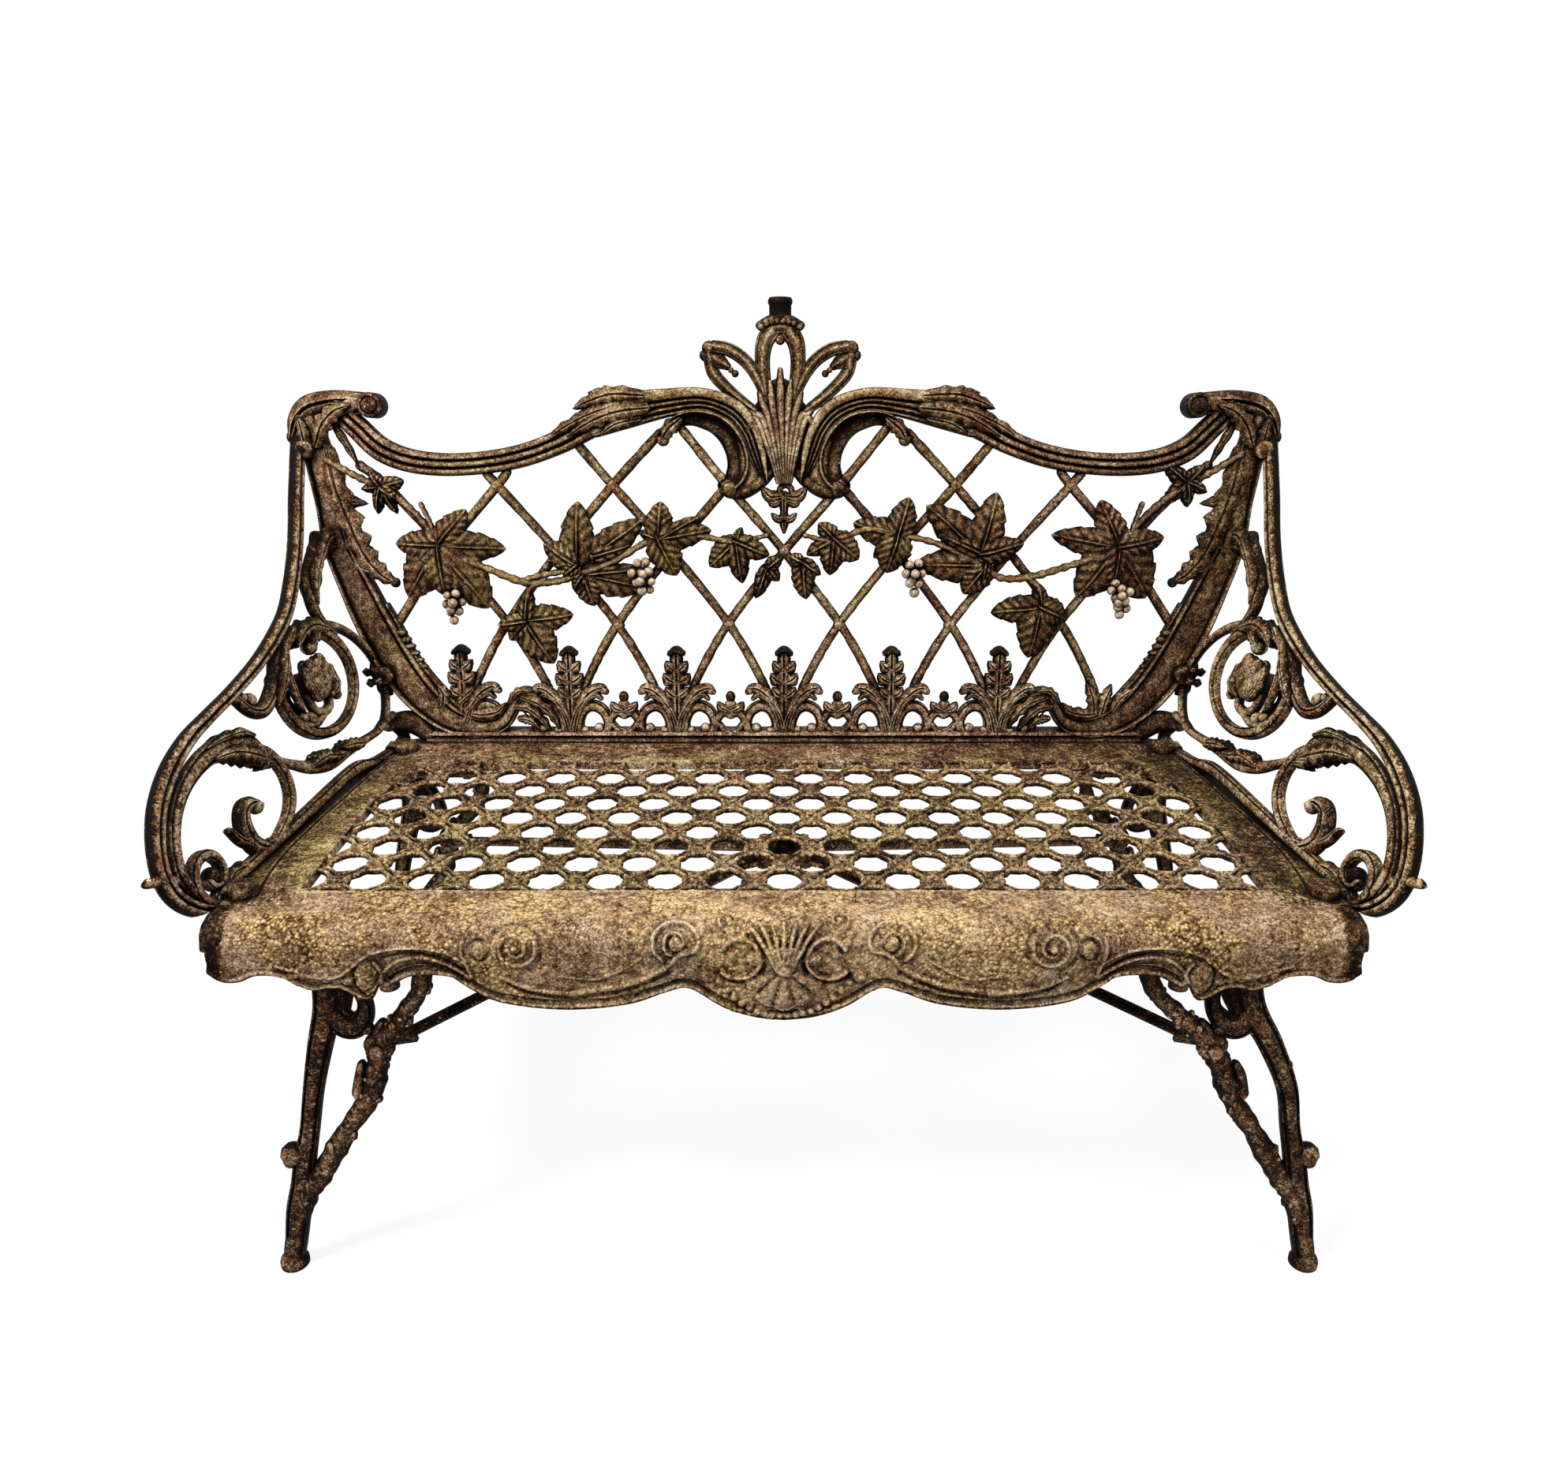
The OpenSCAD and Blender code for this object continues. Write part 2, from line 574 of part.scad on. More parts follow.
module leg_flat(g) {
    bar(lean_out(leg_outer, g), 4);
    bar(lean_out(leg_branch, g), 4);
    difference() {
        bar(lean_out(leg_bracket, g), 4);
        translate([spread(424, 324, g), slope(324, g)]) circle(r = 5);
    }
    translate([spread(509, 150, g), slope(150, g)]) circle(r = 12);
    translate([spread(joint_x, joint_z, g), slope(joint_z, g)]) circle(r = 15);
    translate([spread(joint_x + 9, joint_z + 20, g), slope(joint_z + 20, g)]) circle(r = 6);
}
module leg(g) {
    foot_y = y_mid - leg_y - z_flange * tan(g[1]);
    difference() {
        union() {
            intersection() {
                on_leg(g) translate([0, 0, -leg_t / 2]) linear_extrude(leg_t) leg_flat(g);
                translate([-700, y_mid - leg_y - 200, 0]) cube([500, 300, z_flange]);
            }
            translate([-470 - 0.75 * g[5], y_mid - leg_y - 13, z_flange - flange_t])
                cube([148 - 0.25 * g[5], 34, flange_t]);
            // round foot pad
            translate([-foot_x - g[0], foot_y, 0]) cylinder(r = 15, h = 12);
        }
        for (x = leg_bolt_x) translate([-x - g[5], y_mid - leg_y + 4, z_flange - flange_t - 1])
            cylinder(d = hole_d, h = flange_t + 2);
        for (x = leg_bolt_x) translate([-x - g[5], y_mid - leg_y + 4, z_flange - flange_t - 26])
            cylinder(r = wash_r + 2, h = 26);
        on_joint(g) translate([0, 0, -leg_t]) cylinder(d = hole_d, h = 2 * leg_t);
    }
}
module leg_front_left() color("dimgray") leg(plain_leg);
module leg_front_right() color("dimgray") placed(1, 0) leg(reach_leg);
module leg_back_left() color("dimgray") placed(0, 1) leg(raked_leg);
module leg_back_right() color("dimgray") placed(1, 1) leg(raked_leg);

// stays: forged rods with flattened, drilled ends
function joint_at(g, w) = let (t = slope(joint_z, g)) [-spread(joint_x, joint_z, g),
    y_mid - hub(g) - leg_y + t * sin(g[1]) - w * cos(g[1]),
    z_flange + t * cos(g[1]) + w * sin(g[1])];
eye_mid = -leg_t / 2 - eye_t / 2;
function stay_dir(g) = let (j = joint_at(g, eye_mid)) atan2(j[1], j[0]);
module stay(g) {
    j = joint_at(g, eye_mid);
    a = stay_dir(g);
    inner = [(eye_pcd + 20) * cos(a), (eye_pcd + 20) * sin(a), disc_z - eye_t / 2];
    outer = joint_at(g, eye_mid) + [24, eye_t / 2, 4];
    v = outer - inner;
    difference() {
        union() {
            translate([0, hub(g), 0]) {
                translate(inner) rotate([0, acos(v[2] / norm(v)), atan2(v[1], v[0])])
                    translate([0, 0, 2]) cylinder(d = stay_d, h = norm(v) - 2);
                translate([0, 0, disc_z - eye_t]) linear_extrude(eye_t) rotate(a) {
                    translate([eye_pcd, 0]) circle(d = eye_w - 4);
                    translate([eye_pcd, -8]) square([30, 16]);
                }
            }
            on_joint(g) translate([0, 0, -leg_t / 2 - eye_t]) linear_extrude(eye_t) {
                circle(d = eye_w);
                rotate(170) translate([0, -8]) square([34, 16]);
            }
        }
        translate([0, hub(g), 0]) rotate(a) translate([eye_pcd, 0, disc_z - eye_t - 10])
            cylinder(d = hole_d, h = 30);
        on_joint(g) translate([0, 0, -leg_t - 20]) cylinder(d = hole_d, h = leg_t + 40);
        // keep the rod clear of the disc above it and of the leg beside it
        translate([0, hub(g), disc_z]) cylinder(r = disc_r + 1, h = 20);
        on_joint(g) translate([-60, -60, -leg_t / 2]) cube([120, 120, leg_t + 30]);
        translate([0, hub(g), 0]) rotate(a) translate([eye_pcd, 0, disc_z - eye_t - 12])
            cylinder(r = wash_r + 1.5, h = 12);
    }
}
module stay_front_left() color("slategray") stay(plain_leg);
module stay_front_right() color("slategray") placed(1, 0) stay(reach_leg);
module stay_back_left() color("slategray") placed(0, 1) stay(raked_leg);
module stay_back_right() color("slategray") placed(1, 1) stay(raked_leg);

module at_eyes() for (c = corners) placed(c[1], c[2]) translate([0, hub(c[0]), 0])
    rotate(stay_dir(c[0])) translate([eye_pcd, 0, 0]) children();
// a joint bolt's head lies on the outer face and its thread points to the bench
module at_joints() for (c = corners) placed(c[1], c[2]) on_joint(c[0])
    translate([0, 0, leg_t / 2]) rotate([180, 0, 0]) children();

module centre_disc() color("darkslategray") difference() {
    translate([0, y_hub, disc_z]) cylinder(r = disc_r, h = disc_t, $fn = 48);
    translate([0, y_hub, disc_z - 1]) cylinder(d = hole_d, h = disc_t + 2);
    at_eyes() translate([0, 0, disc_z - 1]) cylinder(d = hole_d, h = disc_t + 2);
}
module centre_bolt() color("gray") translate([0, y_hub, disc_z - wash_t])
    bolt(bolt_d, disc_t + wash_t + 12, head_r, head_h);
module centre_washer() color("silver") translate([0, y_hub, disc_z - wash_t])
    washer(bolt_d, wash_r);
module eye_bolts() color("gray") at_eyes() translate([0, 0, disc_z - eye_t])
    bolt(bolt_d, eye_t + disc_t + 0.9 * bolt_d, head_r, head_h);
module eye_nuts() color("silver") at_eyes() translate([0, 0, disc_z + disc_t])
    nut(bolt_d, head_r, 0.8 * bolt_d);
module joint_bolts() color("gray") at_joints()
    bolt(bolt_d, leg_t + eye_t + 1.1 * bolt_d, head_r, head_h);
module joint_nuts() color("silver") at_joints() translate([0, 0, leg_t + eye_t])
    nut(bolt_d, head_r, 0.8 * bolt_d);
module leg_bolts() color("gray") for (p = leg_spots)
    translate([p[0], p[1], z_flange - flange_t - wash_t])
        bolt(bolt_d, wash_t + flange_t + tap_deep - 2, head_r, head_h);
module leg_washers() color("silver") for (p = leg_spots)
    translate([p[0], p[1], z_flange - flange_t - wash_t]) washer(bolt_d, wash_r);
module back_bolts() color("gray") for (x = back_bolt_x)
    translate([x, back_bolt_y, z_under - wash_t])
        bolt(bolt_d, wash_t + seat_t + tap_deep - 5, head_r, head_h);
module back_washers() color("silver") for (x = back_bolt_x)
    translate([x, back_bolt_y, z_under - wash_t]) washer(bolt_d, wash_r);
module arm_seat_bolts() color("gray") for (s = [-1, 1]) for (p = arm_pad)
    translate([s * p[0], p[1], z_under - wash_t])
        bolt(small_d, wash_t + seat_t + pad_h - 5, small_r, small_h);
module arm_seat_washers() color("silver") for (s = [-1, 1]) for (p = arm_pad)
    translate([s * p[0], p[1], z_under - wash_t]) washer(small_d, small_d);
module arm_back_bolts() color("gray") on_back() both() for (p = [top_pad, low_pad])
    translate([p[0], p[1], -frame_t / 2 - wash_t])
        bolt(small_d, wash_t + frame_t + 10, small_r, small_h);
module arm_back_washers() color("silver") on_back() both() for (p = [top_pad, low_pad])
    translate([p[0], p[1], -frame_t / 2 - wash_t]) washer(small_d, small_d);

back_panel();
seat_panel();
arm_left();
arm_right();
leg_front_left();
leg_front_right();
leg_back_left();
leg_back_right();
stay_front_left();
stay_front_right();
stay_back_left();
stay_back_right();
centre_disc();
centre_bolt();
centre_washer();
eye_bolts();
eye_nuts();
joint_bolts();
joint_nuts();
leg_bolts();
leg_washers();
back_bolts();
back_washers();
arm_seat_bolts();
arm_seat_washers();
arm_back_bolts();
arm_back_washers();
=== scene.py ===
# %% [markdown]
# # A cast iron garden bench
# The real bench is a handful of sand castings bolted together: a pierced back with a
# vine on a trellis, a pierced seat with a hanging apron, two open arms and four legs.
# The construction model already fixes where each casting is and how big it is. This
# script loads it as a frame and models the moulded surfaces that a foundry pattern has.

# %% Load the frame
import math
from functools import partial
import bpy
import numpy as np
from mathutils import Matrix, Vector, kdtree


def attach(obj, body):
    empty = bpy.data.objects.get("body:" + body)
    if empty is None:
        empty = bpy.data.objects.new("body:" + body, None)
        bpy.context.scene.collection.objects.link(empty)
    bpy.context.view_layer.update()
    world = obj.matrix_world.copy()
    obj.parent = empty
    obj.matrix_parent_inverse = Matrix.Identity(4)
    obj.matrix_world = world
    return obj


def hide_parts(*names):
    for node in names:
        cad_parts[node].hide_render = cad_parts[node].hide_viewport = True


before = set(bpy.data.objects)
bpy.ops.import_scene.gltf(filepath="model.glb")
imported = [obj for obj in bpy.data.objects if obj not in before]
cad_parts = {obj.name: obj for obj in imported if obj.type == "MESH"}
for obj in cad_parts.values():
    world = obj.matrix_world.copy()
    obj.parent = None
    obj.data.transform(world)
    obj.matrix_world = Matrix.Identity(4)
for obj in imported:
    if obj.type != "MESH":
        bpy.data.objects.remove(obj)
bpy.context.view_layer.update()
MM = 0.001
SEAT_Z = 430.0
BACK_Y = 200.5
BACK_LEAN = 8.0
ARM_LEAN = 15.4
ARM_SPLAY = 8.0
ARM_START = (-497.0, 184.6)
FRAME_T = 14.0
print("loaded", len(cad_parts), "castings and fixings")

# %% [markdown]
# ## Curves
# A pattern maker draws scrolls with a few points and a bent batten. A Catmull-Rom
# curve does the same job: it passes through every given point. Each point here is
# x, y and width, and may carry a fourth number, its height above the casting's middle.
# The width and height flow along the curve with the place, so a stem can taper.

# %% Smooth curves through given points
def smooth(points, steps=6):
    p = np.array([list(q) + [0.0] * (4 - len(q)) for q in points], float)
    p = np.vstack([2 * p[0] - p[1], p, 2 * p[-1] - p[-2]])
    t = np.linspace(0, 1, steps, endpoint=False)[:, None]
    spans = []
    for a, b, c, d in zip(p[:-3], p[1:-2], p[2:-1], p[3:]):
        spans.append(0.5 * (2 * b + (c - a) * t + (2 * a - 5 * b + 4 * c - d) * t ** 2
                            + (3 * b - a - 3 * c + d) * t ** 3))
    return np.vstack(spans + [p[-2:-1]])


def spiral(cx, cy, r0, r1, a0, a1, w0, w1, n=30):
    """Points of a volute from radius r0 at angle a0 to r1 at a1, in degrees."""
    k = np.linspace(0, 1, n)
    a = np.radians(a0 + (a1 - a0) * k)
    r = r0 + (r1 - r0) * k
    return np.stack([cx + r * np.cos(a), cy + r * np.sin(a), w0 + (w1 - w0) * k], 1)


def sided(side, points):
    """The points as drawn, or for side -1 mirrored across the bench's middle."""
    if side > 0:
        return points
    return [[-q[0], *q[1:]] for q in np.asarray(points, float).tolist()]


print("curve check:", smooth([(0, 0, 1), (10, 5, 2), (20, 0, 1)]).shape)

# %% [markdown]
# ## Collecting a casting
# Every scroll, leaf and bead of one casting goes into one mesh. Each is a closed shell
# of its own that dips into its neighbours, as the carved pieces of a wooden pattern
# do. A small class gathers the shells, turns each the right way out by the sign of its
# volume, and places the whole on the bench. Every point also carries a darkness: painted
# shade in grooves, in hollows and on the sides of bars, and on a few whole parts a mix of dirt
# and painted shade.

# %% The collector
class Casting:
    def __init__(self, place):
        self.place, self.verts, self.faces, self.soot, self.total = place, [], [], [], 0

    def shell(self, verts, faces, closed=True, soot=0.0):
        """Adds a shell, given in the casting's own plane in millimetres."""
        verts = np.asarray(verts, float)
        if closed:
            fan = np.array([(f[0], f[i], f[i + 1]) for f in faces
                            for i in range(1, len(f) - 1)])
            a, b, c = verts[fan[:, 0]], verts[fan[:, 1]], verts[fan[:, 2]]
            if np.einsum("ij,ij->i", a, np.cross(b, c)).sum() < 0:
                faces = [f[::-1] for f in faces]
        self.verts.append(verts)
        self.soot.append(np.broadcast_to(soot, len(verts)))
        self.faces += [[i + self.total for i in f] for f in faces]
        self.total += len(verts)

    def tube(self, rows, soot=0.0):
        """Skins a list of rings, each with the same number of points."""
        rows = np.asarray(rows, float)
        n, m = rows.shape[:2]
        soot = np.append(np.broadcast_to(soot, (n, m)).ravel(), [0.2, 0.2])
        verts = np.vstack([rows.reshape(-1, 3), rows[0].mean(0), rows[-1].mean(0)])
        faces = [[i * m + j, i * m + (j + 1) % m, (i + 1) * m + (j + 1) % m, (i + 1) * m + j]
                 for i in range(n - 1) for j in range(m)]
        first, last = n * m, n * m + 1
        faces += [[first, (j + 1) % m, j] for j in range(m)]
        faces += [[last, (n - 1) * m + j, (n - 1) * m + (j + 1) % m] for j in range(m)]
        self.shell(verts, faces, soot=soot)

    def build(self, name, material, slot, *nodes, sharp=50):
        verts = self.place(np.vstack(self.verts)) * MM
        check = np.linalg.det(self.place(np.eye(3)) - self.place(np.zeros((3, 3))))
        faces = self.faces if check > 0 else [f[::-1] for f in self.faces]
        mesh = bpy.data.meshes.new(name)
        mesh.from_pydata(verts.tolist(), [], faces)
        # per-point darkness: painted shade in grooves, hollows and on the sides, plus dirt on
        # a few parts
        mesh.attributes.new("soot", "FLOAT", "POINT").data.foreach_set(
            "value", np.concatenate(self.soot).astype(np.float32))
        mesh.shade_smooth()
        mesh.set_sharp_from_angle(angle=math.radians(sharp))
        mesh.materials.append(material)
        piece = bpy.data.objects.new(name, mesh)
        bpy.context.scene.collection.objects.link(piece)
        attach(piece, "root")
        if nodes:
            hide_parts(*nodes)
        print(name, "has", len(mesh.polygons), "faces")
        return piece


# %% [markdown]
# ## Where each casting lies
# The back stands on the seat and leans away; its plane has u across, v up the slope and
# w towards the front. An arm's plane runs forward, up and outward. Working flat in each
# plane keeps the drawing simple, and one function tips it into place.

# %% The planes of the back and the arms
def on_back(p):
    lean = math.radians(BACK_LEAN)
    u, v, w = p[:, 0], p[:, 1], p[:, 2]
    return np.stack([u, BACK_Y + v * math.sin(lean) - w * math.cos(lean),
                     SEAT_Z + v * math.cos(lean) + w * math.sin(lean)], 1)


def on_arm(p):
    turn = Matrix.Rotation(math.radians(-90 - ARM_SPLAY), 3, "Z")
    tilt = Matrix.Rotation(math.radians(90 + ARM_LEAN), 3, "X")
    out = p @ np.array(turn @ tilt).T + [*ARM_START, SEAT_Z]
    # the arm is cut off where it meets the seat and the face of the back
    out[:, 2] = np.maximum(out[:, 2], SEAT_Z - 0.5)
    face = BACK_Y + (out[:, 2] - SEAT_Z) * math.tan(math.radians(BACK_LEAN)) - 6.0
    out[:, 1] = np.minimum(out[:, 1], face)
    return out


def on_right_arm(p):
    return on_arm(p) * [-1, 1, 1]


def as_is(p):
    return np.array(p)


print("back at 100 up:", on_back(np.array([[0, 100.0, 0]]))[0].round(1))

# %% [markdown]
# ## Sections
# A moulding is one section pushed along a curve. A section is a closed loop of pairs:
# how far across, from -1 to 1, and how far out, from -1 at the back to 1 at the front.
# Reeds are half-rounds side by side; a scroll has a rounded face with a groove near
# each edge; a bar is round; a leaf has ribs that fan from its middle.

# %% Section loops
PLAIN_BACK = [(1.0, -0.5), (0.8, -1.0), (-0.8, -1.0), (-1.0, -0.5)]


def closed(face, twin=False, back=PLAIN_BACK):
    """Closes a face into a section with its own mirror image or with a plain back."""
    face = list(face)
    return np.array(face + ([(a, -b) for a, b in face[::-1]] if twin else back))


def reeded(count=3, floor=0.3, per=7, twin=False):
    t = np.linspace(-1, 1, count * per + 1)
    s = (((t + 1) / 2 * count) % 1) * 2 - 1
    h = (floor + (1 - floor) * np.sqrt(np.clip(1 - s * s, 0, 1))) * (1 - 0.25 * t * t)
    return closed(zip(t, h), twin)


def grooved(edge=0.68, deep=0.34, per=22, twin=False):
    t = np.linspace(-1, 1, per + 1)
    h = 0.3 + 0.7 * np.sqrt(np.clip(1 - (t * 0.98) ** 2, 0, 1))
    h -= deep * np.exp(-((np.abs(t) - edge) / 0.1) ** 2)
    return closed(zip(t, h), twin,
                  [(0.98, -0.4), (0.75, -0.95), (-0.75, -0.95), (-0.98, -0.4)])


def leafy(per=20, twin=False):
    t = np.linspace(-1, 1, per + 1)
    h = 0.95 - 0.75 * np.abs(t) ** 2 - 0.34 * np.exp(-(t / 0.1) ** 2)
    return closed(zip(t, h), twin, [(0.9, -0.35), (0.45, -0.8), (-0.45, -0.8), (-0.9, -0.35)])


def round_bar(points=12):
    a = np.linspace(0, 2 * math.pi, points, endpoint=False)
    return np.stack([np.cos(a), np.sin(a)], 1)


STILE = closed([(-1, .1), (-.96, .7), (-.84, 1), (-.72, .86), (-.66, .48), (-.6, .7),
                (-.4, .8), (-.1, .86), (.2, .84), (.46, .74), (.54, .7), (.59, .46),
                (.66, .8), (.82, 1), (.95, .7), (1, .1)])
RAIL = closed([(-1, .2), (-.95, .75), (-.8, .96), (-.55, 1), (-.3, .92), (-.2, .8),
               (-.14, .42), (-.07, .7), (.06, .86), (.2, .72), (.26, .4), (.33, .68),
               (.46, .82), (.6, .66), (.66, .38), (.72, .62), (.85, .74), (.95, .5), (1, .1)])
COVE = closed([(-1, .5), (-.93, .9), (-.82, 1), (-.7, .82), (-.52, .3), (-.2, -.15),
               (.2, -.4), (.6, -.4), (.84, -.15), (.95, .05), (1, -.1)])
FLUTE = closed([(-1, -.1), (-.8, .5), (-.5, .86), (0, 1), (.5, .86), (.8, .5), (1, -.1)])
PETAL = closed([(-1, .1), (-.93, .62), (-.8, .8), (-.64, .66), (-.4, .8), (0, 1), (.4, .8),
                (.64, .66), (.8, .8), (.93, .62), (1, .1)])
REEDS3, ROUND = reeded(3, 0.4), round_bar()
SCROLL, LEAFY = grooved(), leafy()
TWIN_REEDS, TWIN_SCROLL, TWIN_LEAF = reeded(2, twin=True), grooved(twin=True), leafy(twin=True)
print("sections have", len(REEDS3), len(ROUND), len(SCROLL), len(LEAFY), "points")

# %% [markdown]
# ## Sweeping a section
# At each point of the curve the section is turned square to the curve and scaled to
# the width. The two ends are closed with a few shrinking rings, so that a bar ends in
# a soft nose as cast ends do.

# %% Sweep, bead and roll
def groove_and_side_shade(section):
    """Painted shade for each point of a section: dark in the grooves and at the sides."""
    tall = np.abs(section[:, 1])
    k = max(1, len(section) // 10)
    rim = np.max([np.roll(tall, i) for i in range(-k, k + 1)], 0)
    return 0.7 * (rim - tall) + 0.5 * np.clip(1 - tall / 0.3, 0, 1)


# the dirt argument darkens a whole piece: partly dirt, partly painted shade on parts that sit
# in shadow
def sweep(casting, path, section=ROUND, depth=FRAME_T, lift=0.0, waves=None, dirt_and_shade=0.0):
    path = np.asarray(path, float)
    if path.shape[1] == 3:
        path = np.hstack([path, np.zeros((len(path), 1))])
    d = np.gradient(path[:, :2], axis=0)
    d /= np.linalg.norm(d, axis=1)[:, None] + 1e-9
    side = np.stack([-d[:, 1], d[:, 0]], 1)

    def ring(i, push=0.0, scale=1.0, thin=1.0):
        w = path[i, 2] / 2 * scale * (waves[i] if waves is not None else 1.0)
        xy = path[i, :2] + d[i] * push + side[i] * section[:, :1] * w
        z = lift + path[i, 3] + section[:, 1] * depth / 2 * thin
        return np.hstack([xy, z[:, None]])

    def nose(i, way):
        rings = []
        for a in np.radians((75, 50, 25)):
            rings.append(ring(i, way * path[i, 2] / 2 * math.sin(a), math.cos(a),
                              0.45 + 0.55 * math.cos(a)))
        return rings

    body = [ring(i) for i in range(len(path))]
    casting.tube(nose(0, -1) + body + nose(len(path) - 1, 1)[::-1],
                 groove_and_side_shade(section) + dirt_and_shade)


def ball(casting, x, y, z, r, tall=1.0, flat=1.0, around=12, dirt_and_shade=0.0):
    rings = []
    rise = np.radians(np.linspace(-80, 80, around // 2 + 1))
    b = np.linspace(0, 2 * math.pi, around, endpoint=False)
    for a in rise:
        rings.append(np.stack([x + r * math.cos(a) * np.cos(b),
                               y + r * tall * math.cos(a) * np.sin(b),
                               np.full(around, z + r * flat * math.sin(a))], 1))
    # painted shade: a dark band round the ball's sides
    casting.tube(rings, dirt_and_shade + 0.5 * np.clip(1 - np.abs(np.sin(rise))[:, None] / 0.5, 0, 1))


def turned(x, y, profile, around=24):
    """Rings of a turned piece that stands at x, y; its profile is height and radius."""
    b = np.linspace(0, 2 * math.pi, around, endpoint=False)
    return [np.stack([x + r * np.cos(b), y + r * np.sin(b), np.full(around, z)], 1)
            for z, r in profile]


def barrel(casting, x, y, r, z0, z1, lip=2.0, dirt_and_shade=0.0):
    """A short roll seen end on, with a rounded rim and a small dished face."""
    casting.tube(turned(x, y, (
        (z0, 0.55), (z0, r - lip), (z0 + lip, r), (z1 - lip, r), (z1, r - lip),
        (z1, r * 0.72), (z1 - lip, r * 0.62), (z1 - lip * 0.4, r * 0.3), (z1, r * 0.1))), dirt_and_shade)


# %% [markdown]
# ## Carved leaves
# Acanthus blades have a midrib, a crown across and scalloped edges. A vine leaf is
# carved lobe by lobe: every lobe is a pointed blade from the leaf's centre with a vein
# down the middle, slanting side veins and a toothed edge, and the lobes overlap.

# %% Acanthus blades and leaf lobes
def blade(casting, spine, wide, lobes=5, cut=0.3, depth=10.0, lift=0.0, tip=0.2, steps=8,
          section=None):
    """spine is x, y and maybe height; wide is the greatest width."""
    path = smooth([(q[0], q[1], 0.0, q[2] if len(q) > 2 else 0.0) for q in spine], steps)
    s = np.linspace(0, 1, len(path))
    body = np.sin(math.pi * np.clip(0.12 + 0.88 * s, 0, 1)) ** 0.7 * (1 - tip * s) + 0.07
    scallop = 1 - cut * (0.5 - 0.5 * np.cos(2 * math.pi * lobes * s)) * np.sin(math.pi * s)
    path[:, 2] = wide * body * scallop
    sweep(casting, path, LEAFY if section is None else section, depth, lift)


def lobe(casting, x0, y0, x1, y1, wide, lift=8.0, bend=0.12, teeth=5, rows=30, half=9,
         rise=3.5, droop=4.0):
    along = np.array([x1 - x0, y1 - y0], float)
    length = np.linalg.norm(along)
    along /= length
    across = np.array([-along[1], along[0]])
    s = np.linspace(0, 1, rows)[:, None]
    u = np.linspace(-1, 1, 2 * half + 1)[None, :]
    t = np.sign(u) * np.abs(u) ** 1.5
    body = np.sin(math.pi * np.clip(0.08 + 0.92 * s ** 0.86, 0, 1)) ** 0.66
    saw = ((s * teeth) % 1.0) ** 1.6
    w = wide / 2 * (body * (1.02 - 0.13 * saw) + 0.03)
    off = np.abs(t * w)
    slant = (s * length - off * 0.8) / (length / (teeth + 0.6))
    crease = (np.abs((slant % 1.0) - 0.5) * 2) ** 4 * np.clip(np.abs(t) * 2.2, 0, 1)
    gutter = np.exp(-((off - 2.6) / 1.3) ** 2) * (1.15 - s)
    dome = rise * (1 - t * t) * np.sin(math.pi * s) ** 0.6 - droop * s * s
    top = (lift + dome + 2.0 * np.exp(-(off / 1.4) ** 2) * (1.1 - s) - 2.4 * gutter
           - 2.2 * crease)
    # painted shade in the gutter and side creases, along the edges and at the base of the lobe
    soot = (0.42 * gutter + 0.4 * crease + 0.5 * np.abs(t) ** 9
            + 0.3 * np.clip(1 - s / 0.16, 0, 1))
    swing = bend * length * np.sin(math.pi * s * 0.5) ** 2
    px = x0 + along[0] * s * length + across[0] * (t * w + swing - bend * length * s)
    py = y0 + along[1] * s * length + across[1] * (t * w + swing - bend * length * s)
    front = np.stack([px, py, top], 2)
    behind = front.copy()
    behind[:, :, 2] -= 2.2 + 2.6 * (1 - t * t) * (1 - 0.5 * s)
    casting.tube(np.concatenate([front, behind[:, ::-1]], 1),
                 np.concatenate([soot, soot[:, ::-1]], 1))


def vine_leaf(casting, cx, cy, tips, lift=9.0, seed=0):
    rng = np.random.default_rng(seed)
    for i, (x, y, wide) in enumerate(tips):
        away = np.array([x - cx, y - cy])
        start = np.array([cx, cy]) - away / np.linalg.norm(away) * wide * 0.14
        lobe(casting, start[0], start[1], x, y, wide * 0.96, lift + 2.6 * (i % 3),
             bend=rng.uniform(-0.12, 0.12), rise=rng.uniform(6.0, 9.0),
             droop=rng.uniform(1.0, 7.0), teeth=3 + int(wide > 30) * 2)
    ball(casting, cx, cy, lift + 3.0, 3.4)


def bunch(casting, spots, r, lift=15.0, seed=1):
    rng = np.random.default_rng(seed)
    middle = np.mean(spots, 0)
    near = middle + (np.array(spots) - middle) * [0.84, 0.94]
    inner = [middle + [0.5, 3.5], middle + [-3.0, -5.0]]
    for i, (x, y) in enumerate([*near, *inner]):
        ball(casting, x, y, lift + rng.uniform(-2, 3) + (4 if i >= len(near) else 0),
             r * rng.uniform(0.9, 1.1), around=12, dirt_and_shade=rng.uniform(-0.05, 0.2))
    # a dark core behind the grapes: painted shade between them
    ball(casting, *middle, lift - 6, r * 1.5, tall=1.4, dirt_and_shade=0.7)


print("carving tools ready")

# %% [markdown]
# ## Shader maths
# Old painted iron outdoors is dark rust brown, rubbed to a pinkish brown on the high
# places, with moss where water lies and cream lichen in spots; its corners get painted black
# shade.
# The finishes are written as sums of noises, so a small class lets a shader socket
# take part in ordinary arithmetic.

# %% Sockets that can be added and multiplied
def plug(tree, socket, value):
    """Links a socket or, where the value is plain, sets it."""
    value = value.socket if isinstance(value, Val) else value
    if isinstance(value, bpy.types.NodeSocket):
        tree.links.new(value, socket)
    elif value is not None:
        socket.default_value = value


def node(tree, kind, settings=None, *values, **named):
    """A shader node: its settings first, then its sockets in order or by name."""
    n = tree.nodes.new("ShaderNode" + kind)
    for k, v in (settings or {}).items():
        setattr(n, k, v)
    for socket, v in zip(n.inputs, values):
        plug(tree, socket, v)
    for k, v in named.items():
        plug(tree, n.inputs[k.replace("_", " ")], v)
    return n


